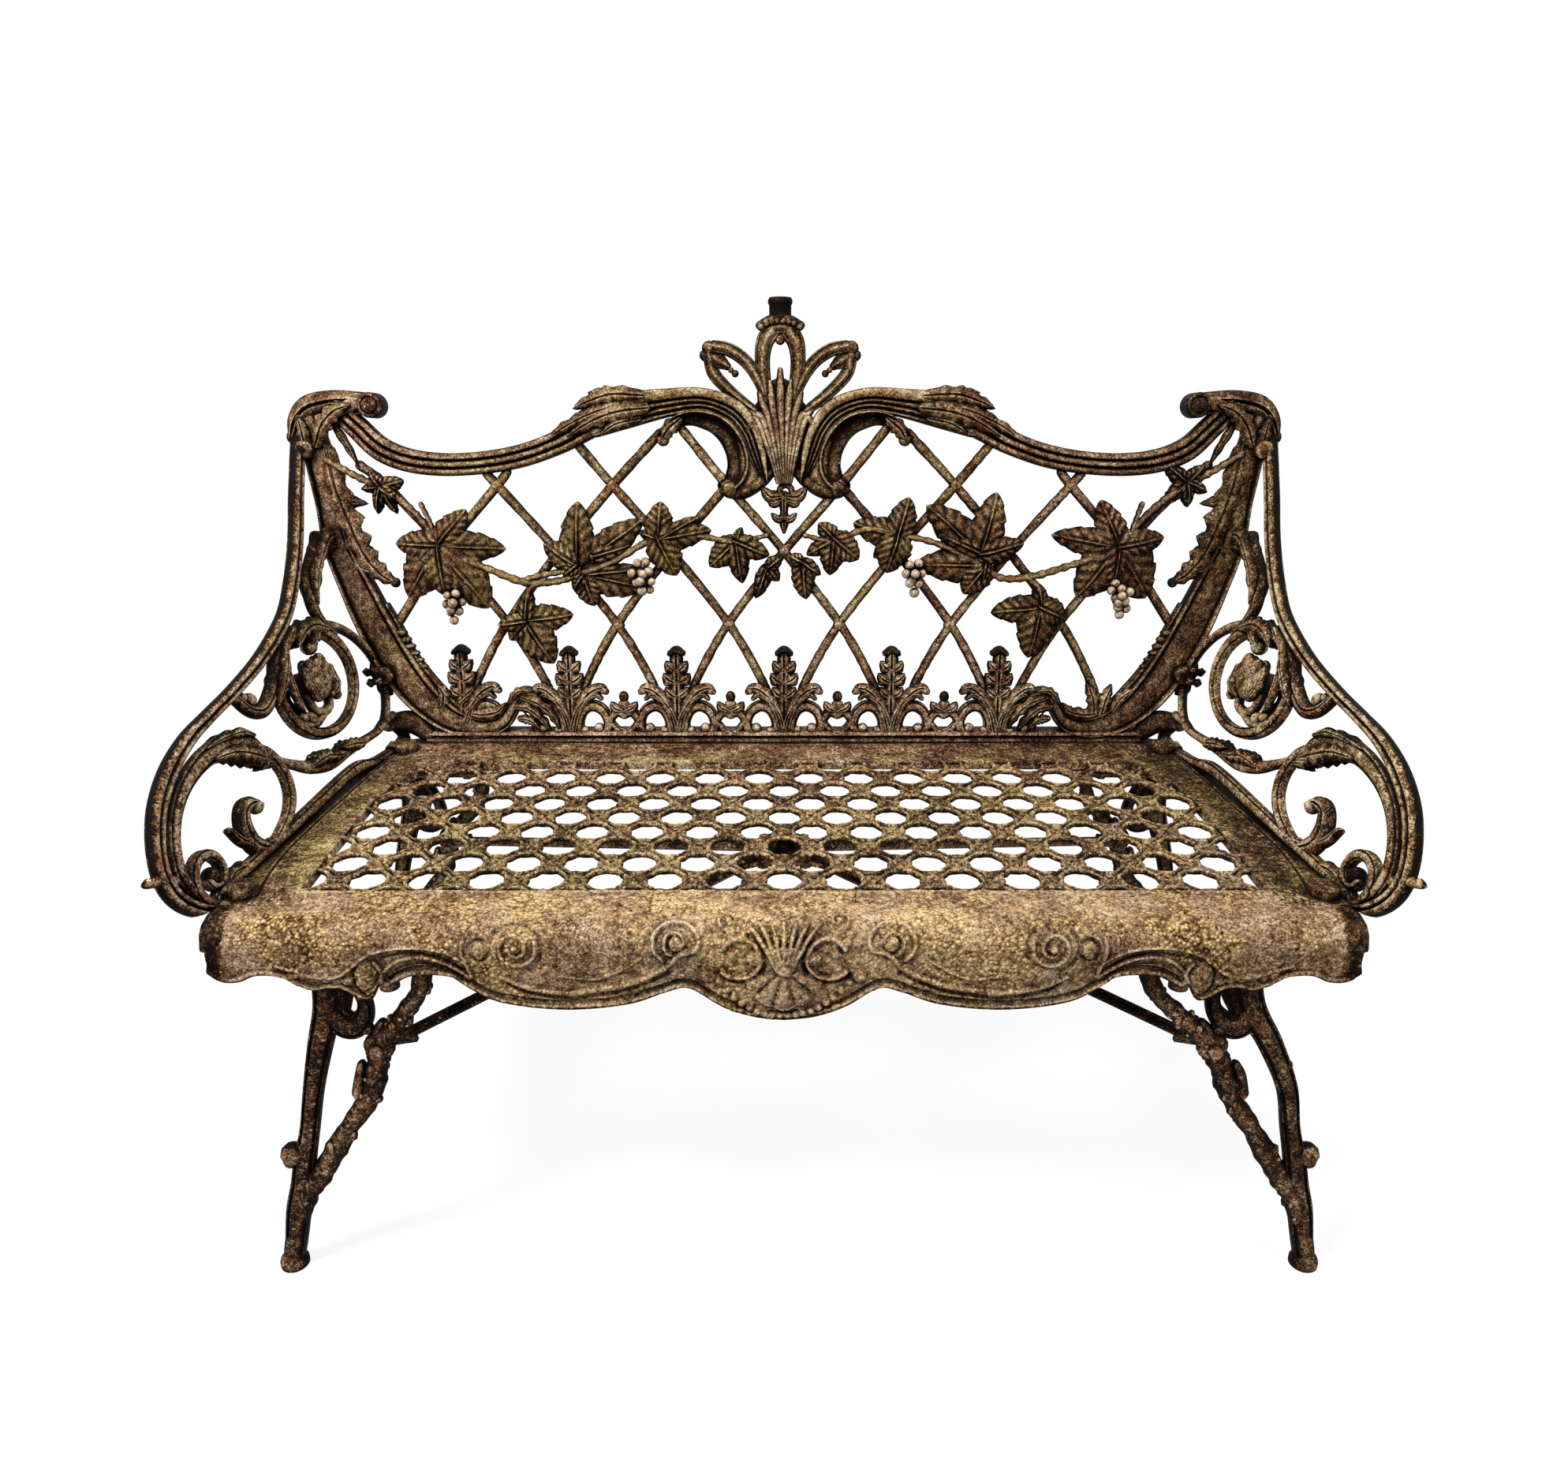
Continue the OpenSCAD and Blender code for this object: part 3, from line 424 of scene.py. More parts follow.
class Val:
    def __init__(self, tree, socket):
        self.tree, self.socket = tree, socket

    def math(self, kind, other=None, swap=False, clamp=False):
        pair = (other, self) if swap else (self, other)
        settings = {"operation": kind, "use_clamp": clamp}
        return Val(self.tree, node(self.tree, "Math", settings, *pair).outputs[0])

    def __add__(self, o): return self.math("ADD", o)
    def __sub__(self, o): return self.math("SUBTRACT", o)
    def __rsub__(self, o): return self.math("SUBTRACT", o, True)
    def __mul__(self, o): return self.math("MULTIPLY", o)
    __radd__, __rmul__ = __add__, __mul__

    def clip(self):
        return self.math("ADD", 0.0, clamp=True)

    def step(self, a, b):
        """Rises smoothly from 0 at a to 1 at b."""
        n = node(self.tree, "MapRange", {"interpolation_type": "SMOOTHSTEP"}, Value=self,
                 From_Min=a, From_Max=b)
        return Val(self.tree, n.outputs["Result"])


def ink(r, g, b):
    """A colour as a painter's chart gives it, 0 to 255, made linear."""
    f = [v / 255 for v in (r, g, b)]
    return tuple(v / 12.92 if v <= 0.04045 else ((v + 0.055) / 1.055) ** 2.4 for v in f)


class Finish:
    def __init__(self, name):
        self.mat = bpy.data.materials.new(name)
        self.mat.use_nodes = True
        self.tree = self.mat.node_tree
        self.shader = self.tree.nodes["Principled BSDF"]
        self.where = self.add("TexCoord").outputs["Object"]
        way = self.add("SeparateXYZ", Vector=self.add("NewGeometry").outputs["Normal"])
        self.facing = {a: Val(self.tree, way.outputs[a]) for a in "XYZ"}
        spots = self.add("SeparateXYZ", Vector=self.where)
        self.x, self.y = (Val(self.tree, spots.outputs[a]) for a in "XY")

    def add(self, kind, settings=None, *values, **named):
        return node(self.tree, kind, settings, *values, **named)

    def noise(self, per_m, detail=3.0, rough=0.55, shift=0.0, warp=0.0):
        at = self.where
        if shift:
            at = self.add("VectorMath", {"operation": "ADD"}, at,
                          (shift, shift * 0.7, -shift)).outputs[0]
        n = self.add("TexNoise", Vector=at, Scale=per_m, Detail=detail, Roughness=rough,
                     Distortion=warp)
        return Val(self.tree, n.outputs["Fac"])

    def cells(self, per_m):
        """How far the nearest of many scattered spots is, and the node itself."""
        n = self.add("TexVoronoi", Vector=self.where, Scale=per_m)
        return Val(self.tree, n.outputs["Distance"]), n

    def mix(self, a, b, amount):
        """A colour between a and b; each is a tuple or another node's colour."""
        n = self.add("Mix", {"data_type": "RGBA", "clamp_factor": True})
        slots = [s for s in n.inputs if s.enabled]
        for s, v in zip([slots[0], *slots[-2:]], (amount, a, b)):
            plug(self.tree, s, (*v, 1.0) if isinstance(v, tuple) else v)
        return [s for s in n.outputs if s.enabled][0]

    def ramp(self, amount, *inks):
        """A colour picked from a row of paints, dark to light."""
        n = self.add("ValToRGB", Fac=amount)
        stops = n.color_ramp.elements
        while len(stops) < len(inks):
            stops.new(0.5)
        for i, paint in enumerate(inks):
            stops[i].position = i / (len(inks) - 1)
            stops[i].color = (*ink(*paint), 1)
        return n.outputs["Color"]

    def corners(self, reach):
        """0 in a narrow corner, 1 in the open."""
        n = self.add("AmbientOcclusion", {"samples": 3}, Distance=reach)
        return Val(self.tree, n.outputs["AO"])

    def edges(self, low, high):
        """1 on an edge that stands out."""
        n = self.add("NewGeometry")
        return Val(self.tree, n.outputs["Pointiness"]).step(low, high)

    def pits(self):
        """1 where the surface folds inward sharply."""
        return 1.0 - self.edges(0.4, 0.49)

    def finish(self, colour, rough, height):
        bump = self.add("Bump", Height=height, Distance=0.0014, Strength=0.85)
        for name, v in (("Base Color", colour), ("Roughness", rough),
                        ("Normal", bump.outputs[0]), ("Specular IOR Level", 0.05)):
            plug(self.tree, self.shader.inputs[name], v)
        return self.mat


print("a mid brown is", [round(v, 3) for v in ink(110, 80, 55)])

# %% [markdown]
# ## The iron's finishes
# One recipe serves all the castings. A single tone, from black to a rubbed pale
# brown, is added up from coarse and fine noises, edges lightened as part wear and part
# painted highlight, and painted shade in corners, grooves and on sides turned from the
# light, and picks its paint from a row of browns. Moss, rust, lichen spots and a crust of
# round scales lie over it in amounts that differ from casting to casting.

# %% Weathered iron
BROWNS = ((4, 2, 1), (44, 26, 14), (84, 60, 40), (118, 92, 68), (156, 131, 108),
          (198, 180, 158))
OLIVES = ((9, 7, 2), (48, 40, 15), (86, 74, 28), (124, 110, 50), (164, 150, 86))
RUSTS = ((12, 4, 1), (58, 26, 11), (100, 54, 27), (132, 82, 50), (166, 122, 92))
CRUSTS = ((20, 11, 4), (80, 55, 28), (130, 100, 61), (166, 136, 92), (188, 160, 116),
          (204, 180, 142))


def iron(name, tone=0.45, spread=1.0, moss=0.3, rust=0.4, lichen=0.3, crust=0.0, side=None,
         gloom=1.0, crust_tone=0.0, dry=None, grime_and_shade=0.8, shade=0.0, middle=0.0):
    f = Finish(name)
    broad = f.noise(6, 3, 0.6, warp=0.4)
    patch = f.noise(26, 4, 0.62, shift=3.1)
    fine = f.noise(140, 4, 0.7, shift=7.7)
    grit = f.noise(480, 3, 0.75, shift=1.3)
    scale_near, scale_node = f.cells(250)
    scale_tone = Val(f.tree, f.add("SeparateXYZ",
                                   Vector=scale_node.outputs["Color"]).outputs["X"])
    spot_near, _ = f.cells(150)
    # painted shade: darker in narrow corners, wide hollows and sharp inward folds
    near_air, wide_air = f.corners(0.007), f.corners(0.035)
    # edges are lightened: partly rubbed wear, partly painted highlight
    edge = f.edges(0.5, 0.57)
    dim = ((1.0 - near_air).step(0.06, 0.62) * 0.8
           + (1.0 - wide_air).step(0.2, 0.85) * 0.62) * gloom + f.pits() * 0.3
    # the per-point soot attribute adds painted shade in grooves and on sides, and some dirt
    soot = Val(f.tree, f.add("Attribute", {"attribute_name": "soot"}).outputs["Fac"])
    dim = dim + soot * grime_and_shade
    tone = tone - f.x.step(0.05, 0.45) * shade
    t = (tone + (patch - 0.5) * spread + (fine - 0.5) * (1.5 * spread)
         + (grit - 0.5) * (2.2 * spread) + edge * 0.32 - dim * 1.5)
    # painted shade: faces turned away from the side axis and from above are darkened, giving
    # bars dark sides
    if side:
        flat = f.facing[side].math("ABSOLUTE") + f.facing["Z"].math("MAXIMUM", 0.0) * 0.5
        if side == "X":
            flat = flat + (f.facing["Y"] * -0.9).math("MAXIMUM", 0.0)
        t = t - (1.0 - flat.step(0.4, 0.95)) * 0.55
    colour = f.ramp(t.clip(), *BROWNS)
    red = (f.noise(46, 4, 0.65, shift=11.0).step(0.46, 0.66) * rust).clip()
    if dry:
        red = (red + f.y.step(*dry) * 0.3).clip()
    colour = f.mix(colour, f.ramp(t.clip(), *RUSTS), red)
    green = ((broad * 1.1 + patch * 0.9 + f.facing["Z"] * 0.1 - 0.85).step(0.05, 0.35)
             * moss).clip()
    if dry:
        green = green * (1.0 - f.y.step(*dry))
    colour = f.mix(colour, f.ramp((t + 0.04).clip(), *OLIVES), green)
    domed = 1.0 - scale_near.step(0.15, 0.62)
    crusty = ((f.noise(14, 4, 0.65, shift=5.0) + fine * 0.7 - 0.85).step(-0.12, 0.2)
              * crust).clip()
    if crust:
        # painted light: the crust is lighter towards the middle of the bench
        c = (crust_tone + scale_tone * 0.55 + domed * 0.6 + grit - 0.5
             + (1.0 - f.x.math("ABSOLUTE").step(0.08, 0.42)) * middle
             + (patch - 0.5) * 0.6 + edge * 0.1 - dim)
        colour = f.mix(colour, f.ramp(c.clip(), *CRUSTS), crusty)
    spots = ((1.0 - spot_near.step(0.1, 0.3)) * (patch + fine * 0.6).step(0.76, 0.96)
             * grit.step(0.4, 0.55) * (1.0 - dim).step(0.4, 0.8) * lichen * 1.6).clip()
    colour = f.mix(colour, ink(198, 184, 150), spots)
    rough = 0.66 + (fine - 0.5) * 0.6
    height = fine * 0.9 + grit * 0.5 + domed * (crusty * 1.3 + 0.05) + spots * 0.4
    return f.finish(colour, rough.clip(), height)


back_iron = iron("back iron", 0.5, 1.0, moss=0.3, rust=0.6, lichen=0.7, side="Y",
                 gloom=1.1, shade=0.13)
plant_iron = iron("ledge plant iron", 0.6, 1.15, moss=0.25, rust=0.5, lichen=0.8, side="Y",
                  gloom=1.3, grime_and_shade=1.2)
cane_iron = iron("trellis iron", 0.39, 1.1, moss=0.35, rust=0.85, lichen=0.5, side="Y",
                 gloom=1.2, shade=0.06)
leaf_iron = iron("vine iron", 0.45, 0.75, moss=0.5, rust=0.6, lichen=0.5, side="Y",
                 gloom=1.1, shade=0.1)
arm_iron = iron("arm iron", 0.58, 1.4, moss=0.35, rust=0.9, lichen=1.1, side="X",
                gloom=1.5, grime_and_shade=1.3)
pad_iron = iron("arm foot iron", 0.3, 1.2, moss=0.4, rust=0.5, lichen=1.2, gloom=1.2)
rim_iron = iron("seat rim iron", 0.37, 1.3, moss=0.6, rust=0.1, lichen=0.8, crust=0.2,
                crust_tone=-0.2, gloom=1.3, dry=(0.1, 0.19), shade=0.2)
grille_iron = iron("seat grille iron", 0.74, 1.5, moss=0.5, rust=0.5, lichen=0.8,
                   crust=0.9, gloom=1.15, crust_tone=0.26, dry=(0.0, 0.12))
apron_iron = iron("apron iron", 0.62, 1.0, moss=0.1, rust=0.15, lichen=0.4, crust=1.5,
                  gloom=1.2, middle=0.24)
leg_iron = iron("leg iron", 0.26, 1.25, moss=0.2, rust=0.7, lichen=0.6, side="Y", gloom=1.5,
                grime_and_shade=1.1)
fruit_iron = iron("grape iron", 0.74, 1.0, moss=0.1, rust=0.4, lichen=0.8, gloom=1.3)
fixing_iron = iron("fixing iron", 0.3, 1.0, moss=0.1, rust=0.8, lichen=0.2)
print("finishes ready:", len(bpy.data.materials))

# %% [markdown]
# ## The back: rails, stiles and ears
# The top rail runs as one reeded moulding from the ear to the middle, where it swells
# into a C-scroll. The stile is a broader reeded strip that sweeps down and ends in a
# volute on the ledge. The ear rolls inward to a round end with a hood over it.

# %% Rails and stiles
rails = Casting(on_back)
rail_out = [[214, 405, 40], [235, 396, 36], [275, 373, 28], [330, 355, 27], [395, 347, 27],
            [450, 350, 28], [490, 364, 29], [518, 390, 28], [540, 412, 26]]
rail_in = [[22, 328, 5], [27, 342, 15], [33, 362, 25], [43, 388, 28], [63, 410, 29],
           [98, 422, 28], [140, 419, 33], [190, 410, 41], [232, 396, 36]]
inner_arc = [[148, 382, 10], [132, 396, 14], [114, 401, 17], [97, 399, 21], [81, 393, 24],
             [67, 380, 26], [58, 362, 27], [56, 344, 27], [62, 330, 24], [74, 322, 16]]
stile = [[574, 396, 26], [567, 350, 34], [561, 300, 32], [555, 250, 36], [537, 200, 44],
         [517, 150, 50], [493, 100, 52], [466, 60, 48], [432, 30, 38], [396, 18, 28],
         [366, 24, 22], [351, 42, 18], [345, 56, 16], [334, 64, 14], [320, 61, 12],
         [308, 50, 10]]
inner_lip = [[500, 176, 5], [486, 148, 6], [474, 120, 6], [458, 94, 7], [440, 70, 8],
             [420, 48, 9], [394, 34, 9], [370, 36, 8], [356, 46, 6]]
ear_hood = [[597, 380, 13], [590, 398, 24], [574, 413, 30], [545, 420, 27], [515, 421, 22],
            [500, 420, 20]]
for side in (1, -1):
    s = partial(sided, side)
    sweep(rails, smooth(s(rail_out), 9), REEDS3, 21, 1.5)
    sweep(rails, smooth(s(rail_in), 9), RAIL * [-side, 1], 22, 2.0)
    sweep(rails, smooth(s(inner_arc), 8), COVE * [side, 1], 20, 3.0)
    sweep(rails, smooth(s(stile), 9), STILE, 22, 1.0)
    sweep(rails, smooth(s(inner_lip), 6), SCROLL, 13, 2.0)
    sweep(rails, smooth(s(ear_hood), 7), LEAFY, 26, 0.0)
    sweep(rails, smooth(s([[500, 417, 22], [518, 417, 26], [540, 408, 24]]), 6), SCROLL, 28, 0)
    barrel(rails, side * 498, 416, 15, -15, 15, dirt_and_shade=0.4)
    ball(rails, side * 498, 416, 12, 11, flat=0.4, dirt_and_shade=0.45)
    ball(rails, side * 596, 379, 0, 9.5, flat=1.2, dirt_and_shade=0.5)
    ball(rails, side * 588, 402, 4, 7)
    # web between the cove and the reeds, and the foot of the C-scroll
    sweep(rails, smooth(s([[64, 402, 18], [50, 380, 22], [43, 356, 26], [40, 336, 32],
                           [46, 322, 26], [57, 316, 18]]), 7), FLUTE, 15, 1.0)
    sweep(rails, smooth(s([[18, 336, 14], [28, 328, 18], [44, 318, 20], [58, 313, 18],
                           [70, 317, 14]]), 6), FLUTE, 18, 1, dirt_and_shade=0.3)
    ball(rails, side * 66, 317, 4, 11, dirt_and_shade=0.3)
    ball(rails, side * 77, 331, 2, 6.5, dirt_and_shade=0.2)
    # foot plate where the stile meets the seat
    sweep(rails, smooth(s([[512, 20, 16], [498, 26, 24], [480, 24, 30], [464, 12, 24]]), 6),
          FLUTE, 13, 6, dirt_and_shade=0.1)
    # knob where the trellis meets the scroll
    blade(rails, s([[128, 398, 2], [140, 388, 5], [150, 372, 2]]), 22, 3, 0.25, 14, 3)
    ball(rails, side * 147, 376, 4, 8)
print("rails so far:", rails.total, "points")

# %% [markdown]
# ## Acanthus on the frame
# Leaves wrap the rail beside the C-scroll, a long serrated leaf lines each stile down
# to a curled tip, a row of eggs sits in the stile's inner edge, and a tuft closes the
# foot volute.

# %% Leaves, eggs and tufts of the frame
for side in (1, -1):
    s = partial(sided, side)
    for line, wide, lobes, cut, thick in (
            # leaves round the rail
            ([[172, 427, 9], [206, 428, 12], [232, 421, 10], [254, 412, 5]], 24, 5, 0.35, 12),
            ([[168, 412, 11], [200, 408, 14], [230, 398, 12], [262, 380, 8]], 26, 5, 0.35, 12),
            ([[176, 400, 8], [202, 394, 12], [222, 382, 8]], 18, 4, 0.35, 11),
            ([[186, 418, 10], [226, 408, 13], [266, 390, 9], [288, 374, 5]], 18, 6, 0.35, 10),
            ([[180, 426, 6], [212, 432, 9], [236, 430, 7]], 12, 4, 0.3, 9),
            # long leaf inside the stile
            ([[556, 360, 4], [548, 318, 8], [534, 274, 9], [520, 238, 8], [502, 214, 6],
              [487, 205, 4]], 40, 8, 0.5, 13),
            ([[560, 322, 3], [540, 306, 7], [514, 300, 3]], 22, 4, 0.4, 11),
            ([[556, 306, 2], [540, 292, 6], [520, 283, 2]], 20, 3, 0.4, 11),
            ([[545, 262, 3], [528, 250, 6], [511, 244, 3]], 20, 3, 0.4, 11),
            ([[540, 234, 3], [524, 222, 6], [506, 218, 3]], 18, 3, 0.4, 11),
            # leaf up to the ear
            ([[566, 372, 10], [556, 392, 14], [540, 408, 15], [520, 416, 12]], 26, 5, 0.3, 11),
            ([[578, 360, 10], [580, 384, 14], [584, 402, 12]], 18, 4, 0.3, 11),
            ([[548, 398, 4], [532, 372, 7], [520, 346, 4]], 12, 3, 0.2, 9),
            # tongue and tuft at the foot
            ([[408, 38, 4], [388, 36, 8], [368, 40, 8], [358, 50, 4]], 20, 4, 0.3, 12),
            ([[420, 40, 2], [412, 54, 6], [396, 64, 3]], 16, 3, 0.35, 10),
            ([[344, 46, 6], [328, 44, 10], [312, 30, 8], [302, 14, 4]], 18, 4, 0.4, 12),
            ([[340, 30, 6], [326, 28, 9], [314, 14, 5]], 16, 4, 0.4, 12),
            ([[336, 58, 6], [314, 50, 10], [298, 34, 8], [290, 16, 4]], 18, 4, 0.4, 12),
            ([[352, 52, 6], [340, 66, 9], [322, 66, 6]], 14, 4, 0.4, 12)):
        blade(rails, s(line), wide, lobes, cut, thick)
    ball(rails, side * 487, 204, 5, 6.5, dirt_and_shade=0.5)
    for k in range(6):
        ball(rails, side * (485 - 5.2 * k), 141 - 8.6 * k, 5, 8.5 - 0.6 * k, tall=0.55,
             flat=0.9, dirt_and_shade=0.15)
print("frame leaves done:", rails.total, "points")

# %% [markdown]
# ## The crest
# The middle of the rail carries a palmette: flutes fan up from a collar, two loop
# petals lean out to knobbed tips, and a tall open petal in the middle has a scalloped
# cap and a short round stub. A trefoil drop hangs below.

# %% Palmette, petals and drop
def on_crest(p):
    """The crest leans a few millimetres to the left, as it was set in the mould."""
    q = p.copy()
    q[:, 0] -= 4.5 * np.clip((q[:, 1] - 330) / 90, 0, 1)
    return on_back(q)


crest = Casting(on_crest)
for k in (-4, 4, -3, 3, -2, 2, -1, 1, 0):
    far = (k * 12.5, 446 - 4.0 * k * k + (10 if k == 0 else 0))
    sweep(crest, smooth([[k * 2.0, 326, 5, 6], [k * 4.2, 362, 8, 9],
                         [k * 7.5, 400, 11.5, 10 - abs(k)],
                         [k * 10.5, 428 - 2.6 * k * k, 13 - 0.3 * k * k, 8 - 1.2 * abs(k)],
                         [*far, 7, 5 - 1.6 * abs(k)]], 7), FLUTE, 13, 0)
sweep(crest, smooth([[0, 329, 10], [0, 336, 40], [0, 348, 56], [0, 370, 68], [0, 396, 76],
                     [0, 416, 62], [0, 430, 36]], 6), FLUTE, 9, 0)
for side in (1, -1):
    s = partial(sided, side)
    # tall petal in the middle: broad bands round a slot, solid over it
    sweep(crest, smooth(s([[9, 398, 11], [15.5, 424, 16], [20, 446, 18], [21.3, 470, 18.5],
                           [18.5, 488, 21], [11, 500, 22]]), 7), PETAL, 18, 1)
    # side petal: an upper and a lower blade that meet in a knob
    sweep(crest, smooth(s([[14, 410, 11], [24, 441, 14], [40, 465, 15.5], [60, 479, 16],
                           [78, 483, 15]]), 7), PETAL, 17, 1)
    sweep(crest, smooth(s([[31, 410, 11], [49, 422.5, 14], [67.5, 438.5, 15], [80.5, 454, 16],
                           [85, 474, 16]]), 7), PETAL, 16, 0)
    sweep(crest, smooth(s([[64, 461, 10], [70, 465, 16], [76, 469, 18]]), 5), PETAL, 15, 0)
    for x, y, z, r, dirt_and_shade in ((85, 481, 1, 9, .35), (90, 473, 0, 7, .5), (79, 484, 3, 5.5, .3),
                             (54, 452, 6, 4.5, .4), (59, 456, 6, 3.6, .2)):
        ball(crest, side * x, y, z, r, dirt_and_shade=dirt_and_shade)
    for k in range(4):
        ball(crest, side * (3.5 + 6.6 * k), 512 - 0.8 * k * k, 7, 5, flat=1.1, dirt_and_shade=0.2)
    # the drop: wings and lower trefoil
    blade(crest, s([[6, 309, 3], [17, 309, 6], [28, 320, 3]]), 19, 1, 0.1, 12)
    blade(crest, s([[5, 303, 3], [13, 300, 6], [20, 303, 3]]), 12, 1, 0.1, 11)
    blade(crest, s([[1, 283, 3], [8, 282, 6], [16, 289, 3]]), 12, 1, 0.1, 11)
sweep(crest, smooth([[-10, 503, 15], [0, 505, 17], [10, 503, 15]], 6), PETAL, 18, 1)
sweep(crest, smooth([[-25, 507, 9], [-12, 513, 11], [0, 514.5, 11], [12, 513, 11],
                     [25, 507, 9]], 5), FLUTE, 22, 1, dirt_and_shade=0.5)
ball(crest, 0, 490, 6, 6, dirt_and_shade=0.3)
# the drop's eye, waist and tip
sweep(crest, spiral(2, 315, 7.5, 7.5, 0, 360, 8, 8, n=28), SCROLL, 13, 1)
sweep(crest, smooth([[0, 308, 16], [0, 298, 13], [0, 290, 10], [0, 281, 15], [0, 274, 11],
                     [0, 266, 5]], 5), LEAFY, 13, 1)
stub = [(512, 12.5), (520, 13.2), (529, 13.2), (531, 14.6), (535, 14.6), (537.5, 13.0),
        (537.5, 10.0), (533, 9.0)]
crest.tube([ring[:, [0, 2, 1]] for ring in turned(0, 0, stub, 28)], 0.75)
print("crest done:", crest.total, "points")

# %% [markdown]
# ## Fleurons along the ledge
# Six small plants stand on the ledge, where the trellis bars come down. Each has an
# oak-like stem leaf in tiers, a curled leaf to each side that catches a bar, and a pair
# of volutes round open eyes. Bud finials with a heart-shaped eye fill the spaces.

# %% One fleuron and one finial, repeated along the bays
feet = Casting(on_back)
BAY = 137.5


def fleuron(c, sides=(1, -1), low=0.0):
    trunk = [[0, 4, 30], [0, 26, 26], [0, 46, 22], [0, 62, 25], [0, 74, 19], [0, 88, 24],
             [0, 99, 17], [0, 108, 18], [0, 114, 13]]
    sweep(feet, smooth([[c + x, y + low, w] for x, y, w in trunk], 5), LEAFY, 15, 2)
    sweep(feet, smooth([[c - 8, 114 + low, 8], [c, 118 + low, 11], [c + 8, 114 + low, 8]], 6),
          FLUTE, 18, 2, dirt_and_shade=0.5)
    for y, reach, wide in ((101, 14, 16), (85, 17, 18), (67, 15, 17)):
        for q in (1, -1):
            blade(feet, [(c + q, y - 9 + low, 3), (c + q * reach * 0.6, y - 4 + low, 6),
                         (c + q * reach, y + 3 + low, 3)], wide, 2, 0.2, 12, tip=0.0)
    for q in sides:
        # leaf that spreads and curls over the trellis bar
        for shift, fat in ((0, 1.0), (-9, 0.7)):
            sweep(feet, smooth([[c + q * (x + shift * 0.7), y + shift + low, w * fat, z]
                                for x, y, w, z in
                                [[4, 14, 10, 3], [9, 36, 15, 4], [17, 54, 18, 5],
                                 [29, 66, 17, 5], [40, 70, 13, 4], [46, 65, 9, 3]]], 6),
                  LEAFY, 13, 1)
        ball(feet, c + q * 43, 67 + low, 5, 6, flat=0.9)
        # volute round an open eye
        sweep(feet, smooth([[c + q * x, y + low, w] for x, y, w in
                            [[10, 10, 12], [11, 28, 13], [18, 42, 15], [30, 46, 15],
                             [42, 39, 14], [47, 26, 12], [44, 14, 11], [36, 10, 9]]], 6),
              SCROLL, 16, 1)
        ball(feet, c + q * 36, 17 + low, 4, 7)
        ball(feet, c + q * 17, 14 + low, 4, 6)


def finial(c):
    for q in (1, -1):
        # scroll arm that rises to the heart-shaped eye
        sweep(feet, smooth([[c + q * 36, 9, 10], [c + q * 27, 10, 12], [c + q * 20, 18, 13],
                            [c + q * 17, 30, 12], [c + q * 9, 38, 13], [c, 34, 11]], 6),
              SCROLL, 15, 1)
        sweep(feet, smooth([[c, 11, 9], [c + q * 9, 14, 10], [c + q * 15, 22, 8]], 5),
              SCROLL, 14, 1)
        blade(feet, [(c + q * 2, 40, 4), (c + q * 11, 44, 6), (c + q * 17, 51, 3)], 14, 1,
              0.1, 12, tip=0.0)
    ball(feet, c, 47, 4, 8, flat=0.7, dirt_and_shade=0.15)
    ball(feet, c, 58, 3, 6.5, tall=1.2, dirt_and_shade=0.4)


for k in (-2, -1, 0, 1, 2):
    fleuron(k * BAY)
fleuron(-3 * BAY, sides=(1,), low=2)
for k in (-2, -1, 0, 1):
    finial((k + 0.5) * BAY)
# on the right the last bay holds only the leaves of the stile
for line, wide in (([[400, 30, 4], [396, 56, 9], [388, 76, 4]], 20),
                   ([[408, 30, 4], [412, 56, 9], [420, 74, 4]], 20),
                   ([[420, 36, 4], [432, 58, 8], [450, 70, 4]], 18)):
    blade(feet, line, wide, 4, 0.35, 12)
blade(feet, [(-440, 44, 4), (-436, 62, 8), (-444, 76, 4)], 20, 4, 0.35, 12)
print("ledge plants:", feet.total, "points")

# %% [markdown]
# ## The ledge
# The back stands on the seat through a flat moulded ledge with a hollow along its
# front. It is one section pushed along the bench.

# %% The moulded ledge
ledge = Casting(as_is)
ledge_section = [(216, 430), (216, 441), (214, 444), (195, 444.6), (190.6, 443.2),
                 (189.4, 440.6), (191.4, 439), (191.8, 436.6), (189.6, 435.2), (188.4, 433),
                 (189.2, 430)]
ledge.tube([[(x, y + 0.35 * math.sin(x * 0.05), z) for y, z in ledge_section]
            for x in np.linspace(-462, 462, 120)])

# %% [markdown]
# ## The trellis
# Round bars cross in diamonds between the rail and the ledge, a little bent like real
# canes. The two sets of bars lie in one plane and are knotted where they cross.

# %% Trellis bars and knots
canes = Casting(on_back)


def slat(x, up=None):
    top = [[x - up[0], 322 + up[1], 10.5]] if up else []
    return top + [[x, 322, 10.5], [x + 70, 242, 10], [x + 142, 150, 10], [x + 182, 80, 10.5],
                  [x + 192, 50, 11]]


cane_rng = np.random.default_rng(5)
for side in (1, -1):
    for x, up in ((-490, (30, 24)), (-353, (12, 14)), (-211, (42, 50)), (-70, (54, 66)),
                  (70, None), (211, None)):
        line = slat(x, up)
        if x == 211:
            line = [[151, 384, 10.5]] + line
        p = smooth(sided(side, line), 12)
        sweep(canes, p, ROUND, 11.5, 0, cane_rng.uniform(1.04, 1.22, len(p)))
    line = [[340, 338, 11.3], [353, 322, 11.8], [425, 242, 11.3], [487, 156, 12.4]]
    sweep(canes, smooth(sided(side, line), 12), ROUND, 11.5, 0)
    for x, y in ((70, 322), (211, 322), (353, 322), (0, 242), (141, 242), (282, 242),
                 (424, 242), (70, 150), (210, 150), (348, 150)):
        if x or side > 0:
            ball(canes, side * x, y, 0, 8.2, flat=0.9)
print("trellis:", canes.total, "points")

# %% [markdown]
# ## The vine
# A stem wanders over the trellis from each ear to the middle, with vine leaves turned
# in every direction and four bunches of grapes. Each leaf is listed by its middle and
# the tips and widths of its lobes, left half and right half apart, because the carver
# didn't mirror them.

